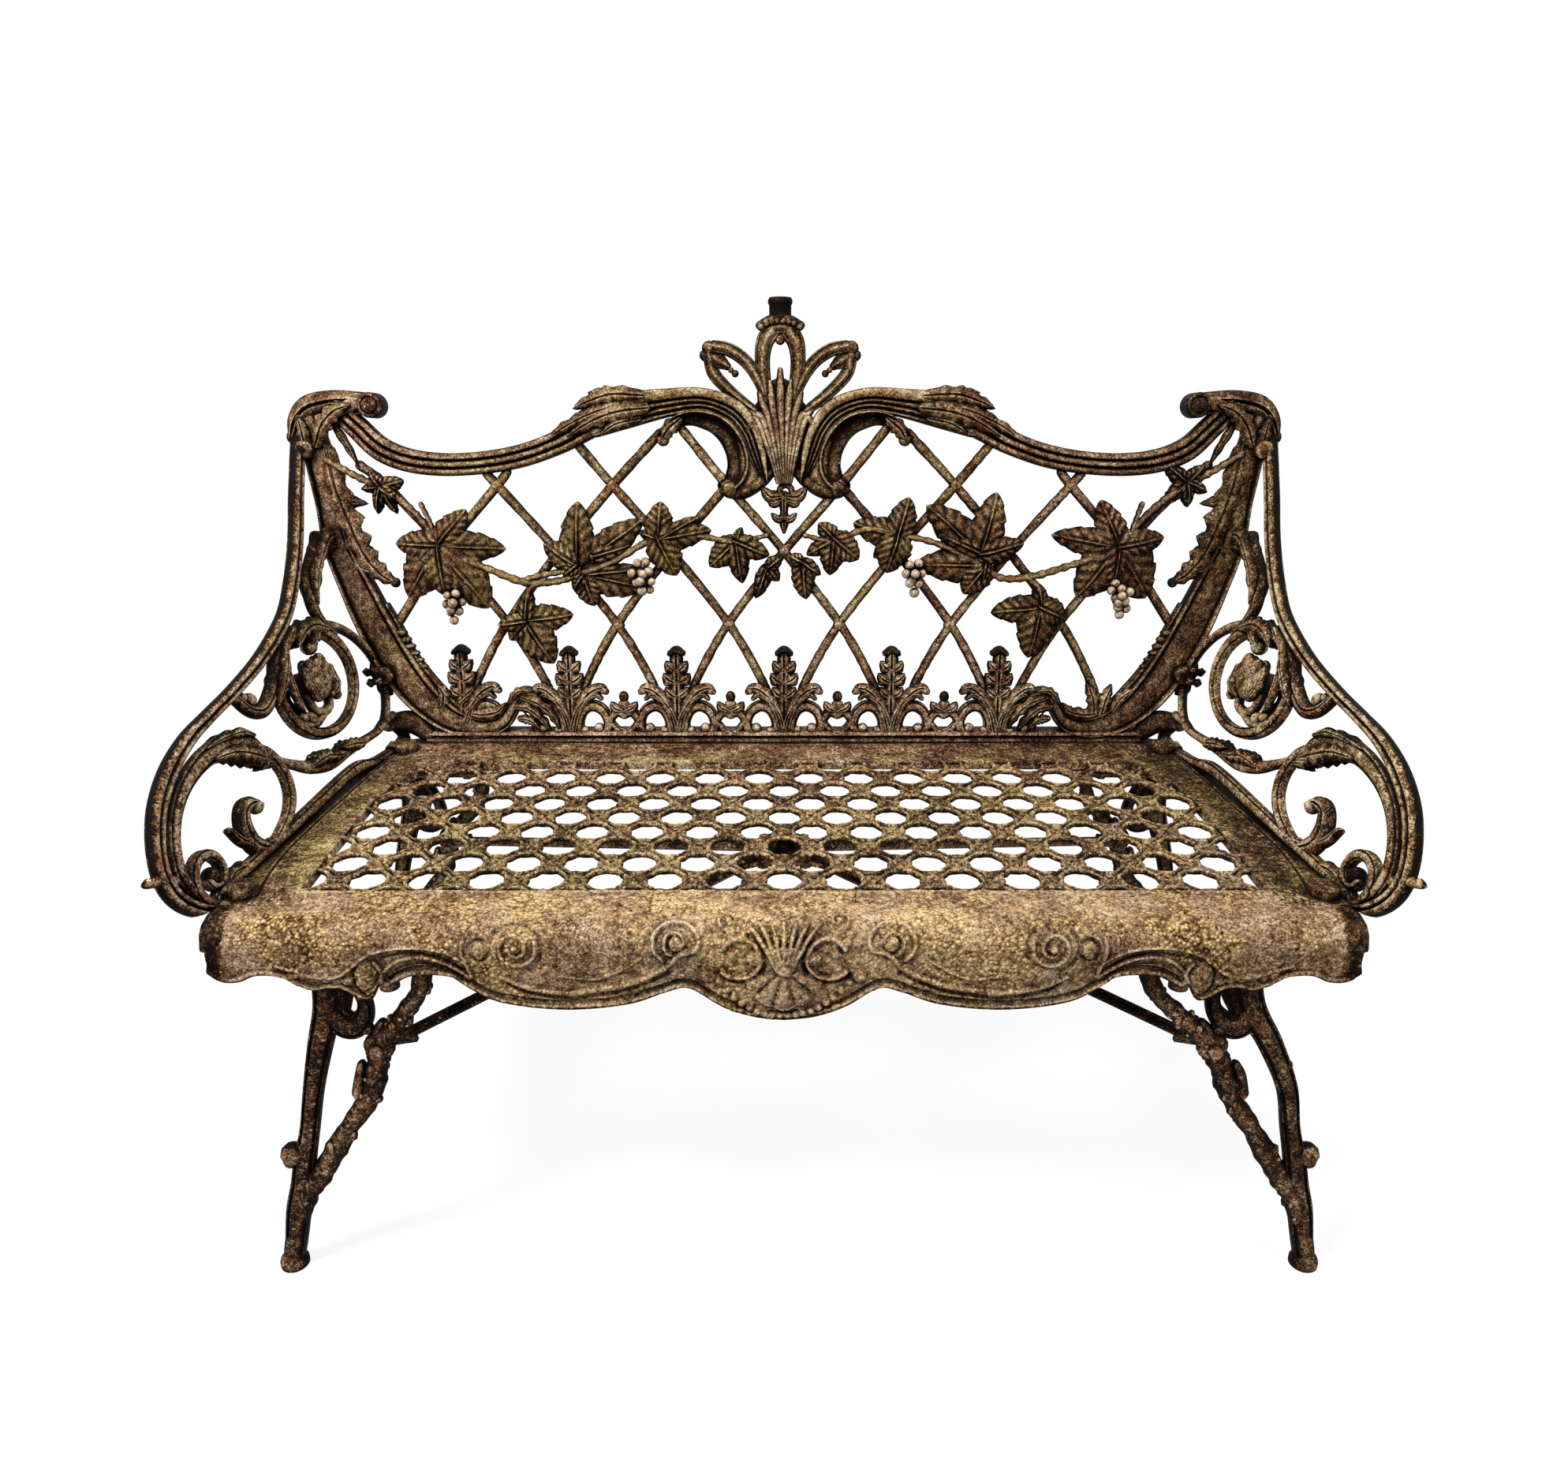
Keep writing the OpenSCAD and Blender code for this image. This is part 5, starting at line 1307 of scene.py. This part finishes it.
# %% Ridges, volutes, beads and the shell
for q in (1, -1):
    s = partial(sided, q)
    # rolled lower edge with the groove that runs above it
    stroke([(q * x, front_q(y) - 2.6, 5.5) for x, y in low_curve[::4]], 3.4, 8)
    scratch([(q * x, front_q(y) - 7.5, 5) for x, y in low_curve[:150:4]], 1.8, 8)
    # outer volute
    stroke(s(spiral(253, 37, 6, 20, 40, 560, 3.6, 5.0, n=70)), 3.4, 3)
    dome(q * 253, 37, 4.5, 4.5, 4.0)
    scratch(s(spiral(253, 37, 24.5, 24.5, 150, 430, 5, 5, n=40)), 1.6, 3)
    # band along the edge, climbing round the middle volute
    stroke(s([(268, 66, 5), (243, 78, 6), (206, 84, 6.5), (184, 81, 6.5), (154, 76, 6.5),
              (129, 66, 6.5), (111, 55, 6.5), (97, 41, 6), (84, 38, 5), (80, 28, 5),
              (86, 18, 5), (98, 12, 5.5), (112, 14, 5.5), (122, 24, 5.5), (122, 38, 5),
              (114, 48, 4.5)]), 4.2, 10)
    scratch(s([(262, 74, 5), (243, 84, 5), (206, 91, 5), (184, 88, 5), (154, 82, 5),
               (130, 73, 5), (110, 62, 5)]), 1.8)
    stroke(s([(213, 66, 3.5), (179, 69, 4), (159, 62, 4), (144, 53, 3.5), (135, 46, 3)]), 2.6)
    stroke(s(spiral(102, 31, 4, 12, 0, 430, 3.5, 4.5, n=50)), 3.6, 3)
    dome(q * 102, 31, 6.5, 6.5, 4.8)
    # oval bead beside the outer volute
    dome(q * 287, 38, 6, 10, 2.8, 0.4)
    scratch(s(spiral(287, 38, 10, 10, 0, 360, 4.5, 4.5, n=30)), 1.8, 3)
    stroke(s([(296, 20, 3), (302, 30, 3.5), (303, 42, 4), (299, 56, 4.5), (296, 66, 5)]), 3.0)
    # arch and scroll leaf towards the end
    stroke(s([(298, 66, 4.5), (310, 57, 4.5), (330, 47, 4.5), (350, 45, 4.5), (366, 50, 4.5),
              (378, 60, 4)]), 3.6)
    scratch(s([(306, 66, 4), (318, 56, 4), (336, 52, 4), (352, 52, 4), (366, 58, 4)]), 1.4)
    stroke(s([(300, 52, 4), (318, 41, 4), (344, 36, 4), (370, 37, 4), (390, 42, 4.5),
              (404, 52, 5), (416, 62, 5), (430, 68, 5), (448, 66, 4.5), (464, 60, 4),
              (480, 54, 4)]), 3.2)
    scratch(s([(306, 58, 4), (322, 47, 4), (344, 42, 4), (368, 43, 4), (386, 49, 4)]), 1.6)
    dome(q * 395, 68, 13, 19, 3.6, 0.7)
    stroke(s([(386, 50, 4), (380, 62, 5), (386, 76, 5), (396, 84, 4)]), 4.2)
    scratch(s([(400, 48, 4), (408, 60, 4), (408, 74, 4), (402, 84, 4)]), 2.0)
    for k in range(6):
        dome(q * (414 + 10 * k), 72 - 1.5 * k, 5.5, 4.5, 2.6)
    # small curls on the nose
    stroke(s(spiral(52, 9, 3, 10, 30, 400, 3.0, 4.0, n=40)), 2.8, 3)
    dome(q * 52, 9, 3.5, 3.5, 3.0)
    # lobes beside the shell
    stroke(s(spiral(42, 46, 22, 18, 40, 330, 5, 5, n=60)), 4.6, 3)
    scratch(s(spiral(42, 46, 27, 24, 40, 250, 5, 5, n=60)), 2.0, 3)
    dome(q * 28, 46, 8, 8, 5.4)
    dome(q * 50, 42, 5, 5, 3.0)
    dome(q * 72, 66, 7, 7, 3.0)
    for k in range(9):
        t = k / 8
        dome(q * (4 + 58 * t), 110 - 38 * t ** 2.0, 4.2, 4.2, 4.2)
# the shell's flutes and the ribs over it
fan_a, fan_r = np.arctan2(X, Q - 58), np.hypot(X, Q - 58)
flute = np.abs(np.cos(fan_a * 6.0)) ** 0.6 * 4.2 * np.clip(fan_r / 26, 0, 1)
in_shell = (fan_r < 45 - 5 * np.abs(fan_a)) & (np.abs(fan_a) < 1.4) & (fan_r > 8)
relief = np.where(in_shell, np.maximum(relief, 0.2 + flute), relief)
for k in range(-3, 4):
    stroke([(k * 2.0, 62, 3.5), (k * 4.4, 44, 6), (k * 8, 26, 5.5), (k * 12, 12, 3)], 4.0)
dome(0, 60, 8, 7, 5.5)
print("relief stands up to", round(float(relief.max()), 1), "mm")

# %% [markdown]
# ## Lichen crust
# The apron is covered in small round scales. They are scattered with a fixed seed, and
# each point of the sheet rises by its nearest scale.

# %% Crust on the sheet
crust_rng = np.random.default_rng(77)
scales = np.stack([crust_rng.uniform(-560, 560, 13000),
                   crust_rng.uniform(-50, 118, 13000)], 1)
middle = np.exp(-(scales[:, 0] / 130) ** 2) + np.clip(scales[:, 1] / 110, 0, 1)
size = crust_rng.uniform(1.5, 3.4, len(scales)) * (1 + 0.7 * middle)
tall = size * crust_rng.uniform(0.12, 0.32, len(scales))
tree = kdtree.KDTree(len(scales))
for i, (a, b) in enumerate(scales):
    tree.insert((a, b, 0), i)
tree.balance()
bare = np.sin(X * 0.021 + 1.0) + np.sin(X * 0.053 + Q * 0.06) + np.sin(Q * 0.09 - X * 0.013)
crust = np.zeros(X.shape)
for i in range(X.shape[0]):
    for j in range(X.shape[1]):
        _, who, far = tree.find((X[i, j], Q[i, j], 0))
        k = 1 - (far / size[who]) ** 2
        if k > 0:
            crust[i, j] = tall[who] * math.sqrt(k)
crust *= np.clip(0.8 - 0.4 * bare, 0.1, 1) * (1 - 0.6 * np.clip(-relief, 0, 1))
out = relief + crust
print("crust stands up to", round(float(crust.max()), 1), "mm")

# %% Bend the sheet over the nose
angle = np.clip(Q / NOSE_R, 0, math.pi / 2)
ny, nz = -np.sin(angle), np.cos(angle)
py = np.where(Q < 0, NOSE_Y - Q, NOSE_Y - NOSE_R * np.sin(angle))
pz = np.where(Q < 0, SEAT_Z, NOSE_Z + NOSE_R * np.cos(angle))
pz = np.where(Q > ARC, NOSE_Z - (Q - ARC), pz)
front_sheet = np.stack([X, py + ny * out, pz + nz * out], 2)
lip_z = front_sheet[:, -1, 2]
SHEET_T = 9.0
inner_r = NOSE_R - SHEET_T
# the back of the sheet as rows of y and z: lip, wall, inner round, flat under the rim
back_rows = [(FRONT_Y + dy, lip_z + dz) for dy, dz in
             ((0, -1.6), (2.5, -2.4), (6.5, -1.8), (SHEET_T, 0.2))]
back_rows += [(FRONT_Y + SHEET_T, lip_z + k * (NOSE_Z - lip_z)) for k in (0.35, 0.7)]
back_rows += [(NOSE_Y - inner_r * math.sin(a), NOSE_Z + inner_r * math.cos(a))
              for a in np.radians((90, 60, 30, 0))]
back_rows += [(-206.0, 420.0), (-205.4, 429.0)]
back_sheet = np.stack([np.stack(np.broadcast_arrays(cols, y, z), 1) for y, z in back_rows], 1)
sheet = np.concatenate([front_sheet, back_sheet], 1)
apron = Casting(as_is)
# painted shadow along the lower lip, where the roll turns under; the outer ends are darker too
apron_soot = np.zeros(sheet.shape[:2])
apron_soot += 0.5 * np.clip((np.abs(cols) - 527) / 8, 0, 1)[:, None]
apron_soot[:, front_sheet.shape[1] - 4:front_sheet.shape[1] + 2] += 0.6
apron.tube(sheet, apron_soot)
apron_ends = Casting(as_is)
for q in (1, -1):
    # rolled ends
    rings = [turned(q * (534 + dx), -264, [(z, r)], 28)[0] for z, r, dx in (
        (427, 6, 3), (424, 12, 2), (414, 15.5, 0), (400, 15.5, -1), (386, 14.5, -4),
        (376, 12.5, -8), (370, 9, -11), (367.5, 4, -12))]
    apron_ends.tube(rings, 0.6)
    end = [(-280, 404), (-275, 418), (-266, 426), (-250, 429.5), (-224, 430), (-224, 414),
           (-240, 404), (-262, 400)]
    apron_ends.tube([[(q * x, (y + 252) * k - 252, (z - 416) * k + 416) for y, z in end]
                     for x, k in ((537, 1.0), (545, 1.0), (549, 0.96), (551, 0.86))], 0.6)

grille.build("seat_grille", grille_iron, "seat_iron", "seat_panel", sharp=60)
rim.build("seat_rim", rim_iron, "seat_iron")
apron.build("seat_apron", apron_iron, "seat_iron", sharp=70)
apron_ends.build("seat_apron_ends", apron_iron, "seat_iron", sharp=70)

# %% [markdown]
# ## The legs
# Each leg is a rustic casting: a smooth outer strut and a knobbly branch that fork from
# one foot, with a leafy bracket under the flange and a ball where the stay is bolted.
# The back legs rake backward. One set of curves makes all four, spread and raked by a
# few numbers for each corner.

# %% Where a leg stands
Y_MID, LEG_Y, LEG_H, JOINT = -40.0, 221.0, 402.0, (402.0, 285.0)


def leg_place(rake, sx, sy):
    r = math.radians(rake)

    def place(p):
        x, t, w = p[:, 0], p[:, 1], p[:, 2]
        y = -LEG_Y + t * math.sin(r) - w * math.cos(r)
        z = LEG_H + t * math.cos(r) + w * math.sin(r)
        return np.stack([-x * sx, Y_MID + y * sy, np.maximum(z, 1)], 1)
    return place


LEG_OUTER = [[532, 6, 20], [526, 30, 22], [516, 75, 25], [506, 110, 24], [498, 145, 22],
             [487, 184, 19], [475, 235, 20], [460, 288, 24], [445, 338, 28], [440, 404, 32]]
LEG_BRANCH = [[522, 50, 17], [503, 96, 23], [479, 132, 24], [448, 182, 21], [418, 226, 21],
              [407, 262, 23], [398, 292, 22], [374, 322, 18], [354, 352, 18], [342, 404, 20]]
LEG_BRACKET = [[446, 330, 26], [430, 310, 30], [415, 316, 22], [409, 338, 14],
               [420, 372, 14], [424, 404, 14]]


def make_leg(name, reach, rake, sx, sy, seed, grows=(LEG_H, 0.0), step=0.0):
    """The foot's reach grows between two heights; step moves the whole leg outward."""
    rng = np.random.default_rng(seed)
    leg = Casting(leg_place(rake, sx, sy))

    def fit(points):
        return [[q[0] + step + (reach - step) * min(1, max(0, (grows[0] - q[1])
                                                           / (grows[0] - grows[1]))),
                 (q[1] - LEG_H) / math.cos(math.radians(rake)), *q[2:]] for q in points]

    def spot(x, z):
        return fit([[x, z]])[0]

    sweep(leg, smooth(fit(LEG_OUTER), 9), TWIN_SCROLL, 17)
    p = smooth(fit(LEG_BRANCH), 12)
    i = np.arange(len(p))
    knots = (1 + 0.07 * np.sin(i * 0.55 + seed) + 0.05 * np.sin(i * 1.3 + 2 * seed)
             + rng.uniform(-.03, .03, len(p)))
    sweep(leg, p, round_bar(16), 18, 0, knots)
    for k in range(60):
        i = rng.integers(4, len(p) - 6)
        a = rng.uniform(0, 2 * math.pi)
        d = p[i + 1, :2] - p[i - 1, :2]
        d /= np.linalg.norm(d)
        r, big = p[i, 2] * 0.42 * math.cos(a), rng.uniform(2.5, 5.0)
        ball(leg, p[i, 0] - d[1] * r, p[i, 1] + d[0] * r, 7.4 * math.sin(a), big,
             tall=rng.uniform(0.8, 1.8), around=8)
    # cut twigs on the branch
    for x, z, up, wide in ((425, 236, 26, 12), (488, 118, 10, 13), (398, 300, 12, 12)):
        sweep(leg, smooth(fit([[x + 6, z - 8, wide + 2], [x + 1, z + up * 0.5, wide],
                               [x - 2, z + up, wide * 0.8]]), 5), ROUND, 12)
    # smooth web between the strut and its curl, under the flange
    sweep(leg, smooth(fit(LEG_BRACKET), 8), TWIN_SCROLL, 15)
    web = [[440, 396, 30], [436, 372, 30], [434, 350, 30], [436, 330, 24]]
    sweep(leg, smooth(fit(web), 6), TWIN_SCROLL, 9)
    for x, z, r in ((510, 150, 13), (514, 140, 8), (496, 160, 8), (411, 306, 7),
                    (452, 300, 7), (474, 262, 6), (489, 178, 8)):
        ball(leg, *spot(x, z), 0, r, flat=0.95)
    ball(leg, *spot(*JOINT), 0, 16, flat=0.56, around=18)
    # foot: a short claw on a round pad
    sweep(leg, smooth(fit([[534, 8, 14], [531, 18, 21], [526, 34, 23]]), 6), ROUND, 19)
    leg.build(name + "_cast", leg_iron, "leg_iron", name)

    base = Casting(as_is)
    tilt = math.tan(math.radians(rake))
    fx, fy = -(532 + reach) * sx, Y_MID + (-LEG_Y - LEG_H * tilt) * sy
    base.tube(turned(fx, fy, ((0, 15), (6, 15), (10, 13.4), (13, 10.5), (18, 8)), 26))
    # flange under the seat
    near, far = 322 + step, 470 + 0.75 * step
    plate = [(near, 0), (near + 2, -3), (far - 2, -3), (far, 0), (far, 31), (far - 3, 34),
             (near + 3, 34), (near, 31)]
    base.tube([[(-sx * x, Y_MID + (-LEG_Y - 13 + max(y, 0)) * sy, z) for x, y in plate]
               for z in (394, 395, 401, 402)])
    base.build(name + "_base", leg_iron, "leg_iron")


make_leg("leg_front_left", 0, 0, 1, 1, 41)
make_leg("leg_front_right", 33, 0, -1, 1, 42, grows=(LEG_H - 30, 250))
make_leg("leg_back_left", 62, 13.5, 1, -1, 43, step=46)
make_leg("leg_back_right", 62, 13.5, -1, -1, 44, step=46)

# %% [markdown]
# ## Stays, disc and fixings
# The rods, the disc and the bolts are plain turned and forged pieces whose shape the
# frame already has, so they keep it and get the old iron's finish.

# %% Finish of the carried-over pieces
for name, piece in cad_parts.items():
    if name.startswith(("stay", "centre_disc")):
        finish = leg_iron
    elif "bolt" in name or "nut" in name or "washer" in name:
        finish = fixing_iron
    else:
        continue
    piece.data.materials.clear()
    piece.data.materials.append(finish)
print("fixings finished")

# %% [markdown]
# ## Studio
# The bench stands on a plain pale floor that runs on as the background. The floor looks
# white to the camera and in reflections and stays an ordinary pale floor for the light
# on the bench. Soft lamps hang high to the left, to the right, overhead and behind.

# %% Floor and background
WHITE = (1, 1, 1, 1)


def seen_rays(tree):
    """1 for rays that show the background: camera, mirror and glass rays."""
    path = node(tree, "LightPath")
    eye, mirror, glass = (Val(tree, path.outputs["Is %s Ray" % kind])
                          for kind in ("Camera", "Glossy", "Transmission"))
    return eye.math("MAXIMUM", mirror).math("MAXIMUM", glass)


def stage_finish():
    mat = bpy.data.materials.new("pale floor")
    mat.use_nodes = True
    tree = mat.node_tree
    tree.nodes.clear()
    soft = node(tree, "BsdfDiffuse", Color=(0.5, 0.5, 0.49, 1))
    pale = node(tree, "BsdfDiffuse", Color=WHITE)
    glow = node(tree, "Emission", Color=WHITE)
    # close to the bench the white floor keeps a little of the bench's soft shadow
    place = node(tree, "TexCoord").outputs["Object"]
    far = Val(tree, node(tree, "VectorMath", {"operation": "LENGTH"}, place).outputs["Value"])
    white = node(tree, "MixShader", None, far.step(0.5, 1.3) * 0.12 + 0.88,
                 pale.outputs[0], glow.outputs[0])
    both = node(tree, "MixShader", None, seen_rays(tree), soft.outputs[0], white.outputs[0])
    node(tree, "OutputMaterial", Surface=both.outputs[0])
    return mat


floor_mesh = bpy.data.meshes.new("floor")
reach, below = 9.0, -0.001
floor_mesh.from_pydata([(x * reach, y * reach, below) for x, y in
                        ((-1, -1), (1, -1), (1, 1), (-1, 1))], [], [(0, 1, 2, 3)])
floor_mesh.materials.append(stage_finish())
floor = bpy.data.objects.new("floor", floor_mesh)
bpy.context.scene.collection.objects.link(floor)

world = bpy.data.worlds.new("studio")
bpy.context.scene.world = world
world.use_nodes = True
wt = world.node_tree
light = wt.nodes["Background"]
plug(wt, light.inputs["Color"], (0.93, 0.93, 0.92, 1))
plug(wt, light.inputs["Strength"], 0.12)
seen = node(wt, "Background", Color=WHITE, Strength=1.0)
pick = node(wt, "MixShader", None, seen_rays(wt), light.outputs[0], seen.outputs[0])
plug(wt, wt.nodes["World Output"].inputs["Surface"], pick.outputs[0])
print("floor and background ready")


# %% Lamps
def lamp(name, place, size, watts, aim=(0, 0, 0.45), tint=(1, 1, 1)):
    light = bpy.data.lights.new(name, "AREA")
    light.shape, light.size, light.energy, light.color = "DISK", size, watts, tint
    it = bpy.data.objects.new(name, light)
    it.location = place
    away = Vector(aim) - Vector(place)
    it.rotation_euler = away.to_track_quat("-Z", "Y").to_euler()
    bpy.context.scene.collection.objects.link(it)


lamp("key", (-1.5, -1.3, 2.7), 0.8, 112)
lamp("fill", (1.9, -1.9, 2.6), 1.1, 34)
lamp("over", (0.3, -0.1, 3.1), 1.1, 56)
lamp("behind", (0.6, 2.6, 2.6), 1.3, 34)
print("lamps placed")

# %% [markdown]
# ## Camera
# The rows of equal holes in the seat give the photograph's perspective: the camera
# stands about a metre high, close in front of the bench, and looks down a little.

# %% Camera
FRAME_W = 1988
FOCAL_PX = 1499.0
lens = bpy.data.cameras.new("camera")
lens.sensor_width = 36.0
lens.lens = FOCAL_PX * lens.sensor_width / FRAME_W
lens.shift_y = 60.5 / FRAME_W
camera = bpy.data.objects.new("camera", lens)
camera.location = (0.0, -1.235, 0.994)
camera.rotation_euler = (math.radians(90 - 23.4), 0, 0)
bpy.context.scene.collection.objects.link(camera)
bpy.context.scene.camera = camera
bpy.context.scene.view_settings.view_transform = "Standard"
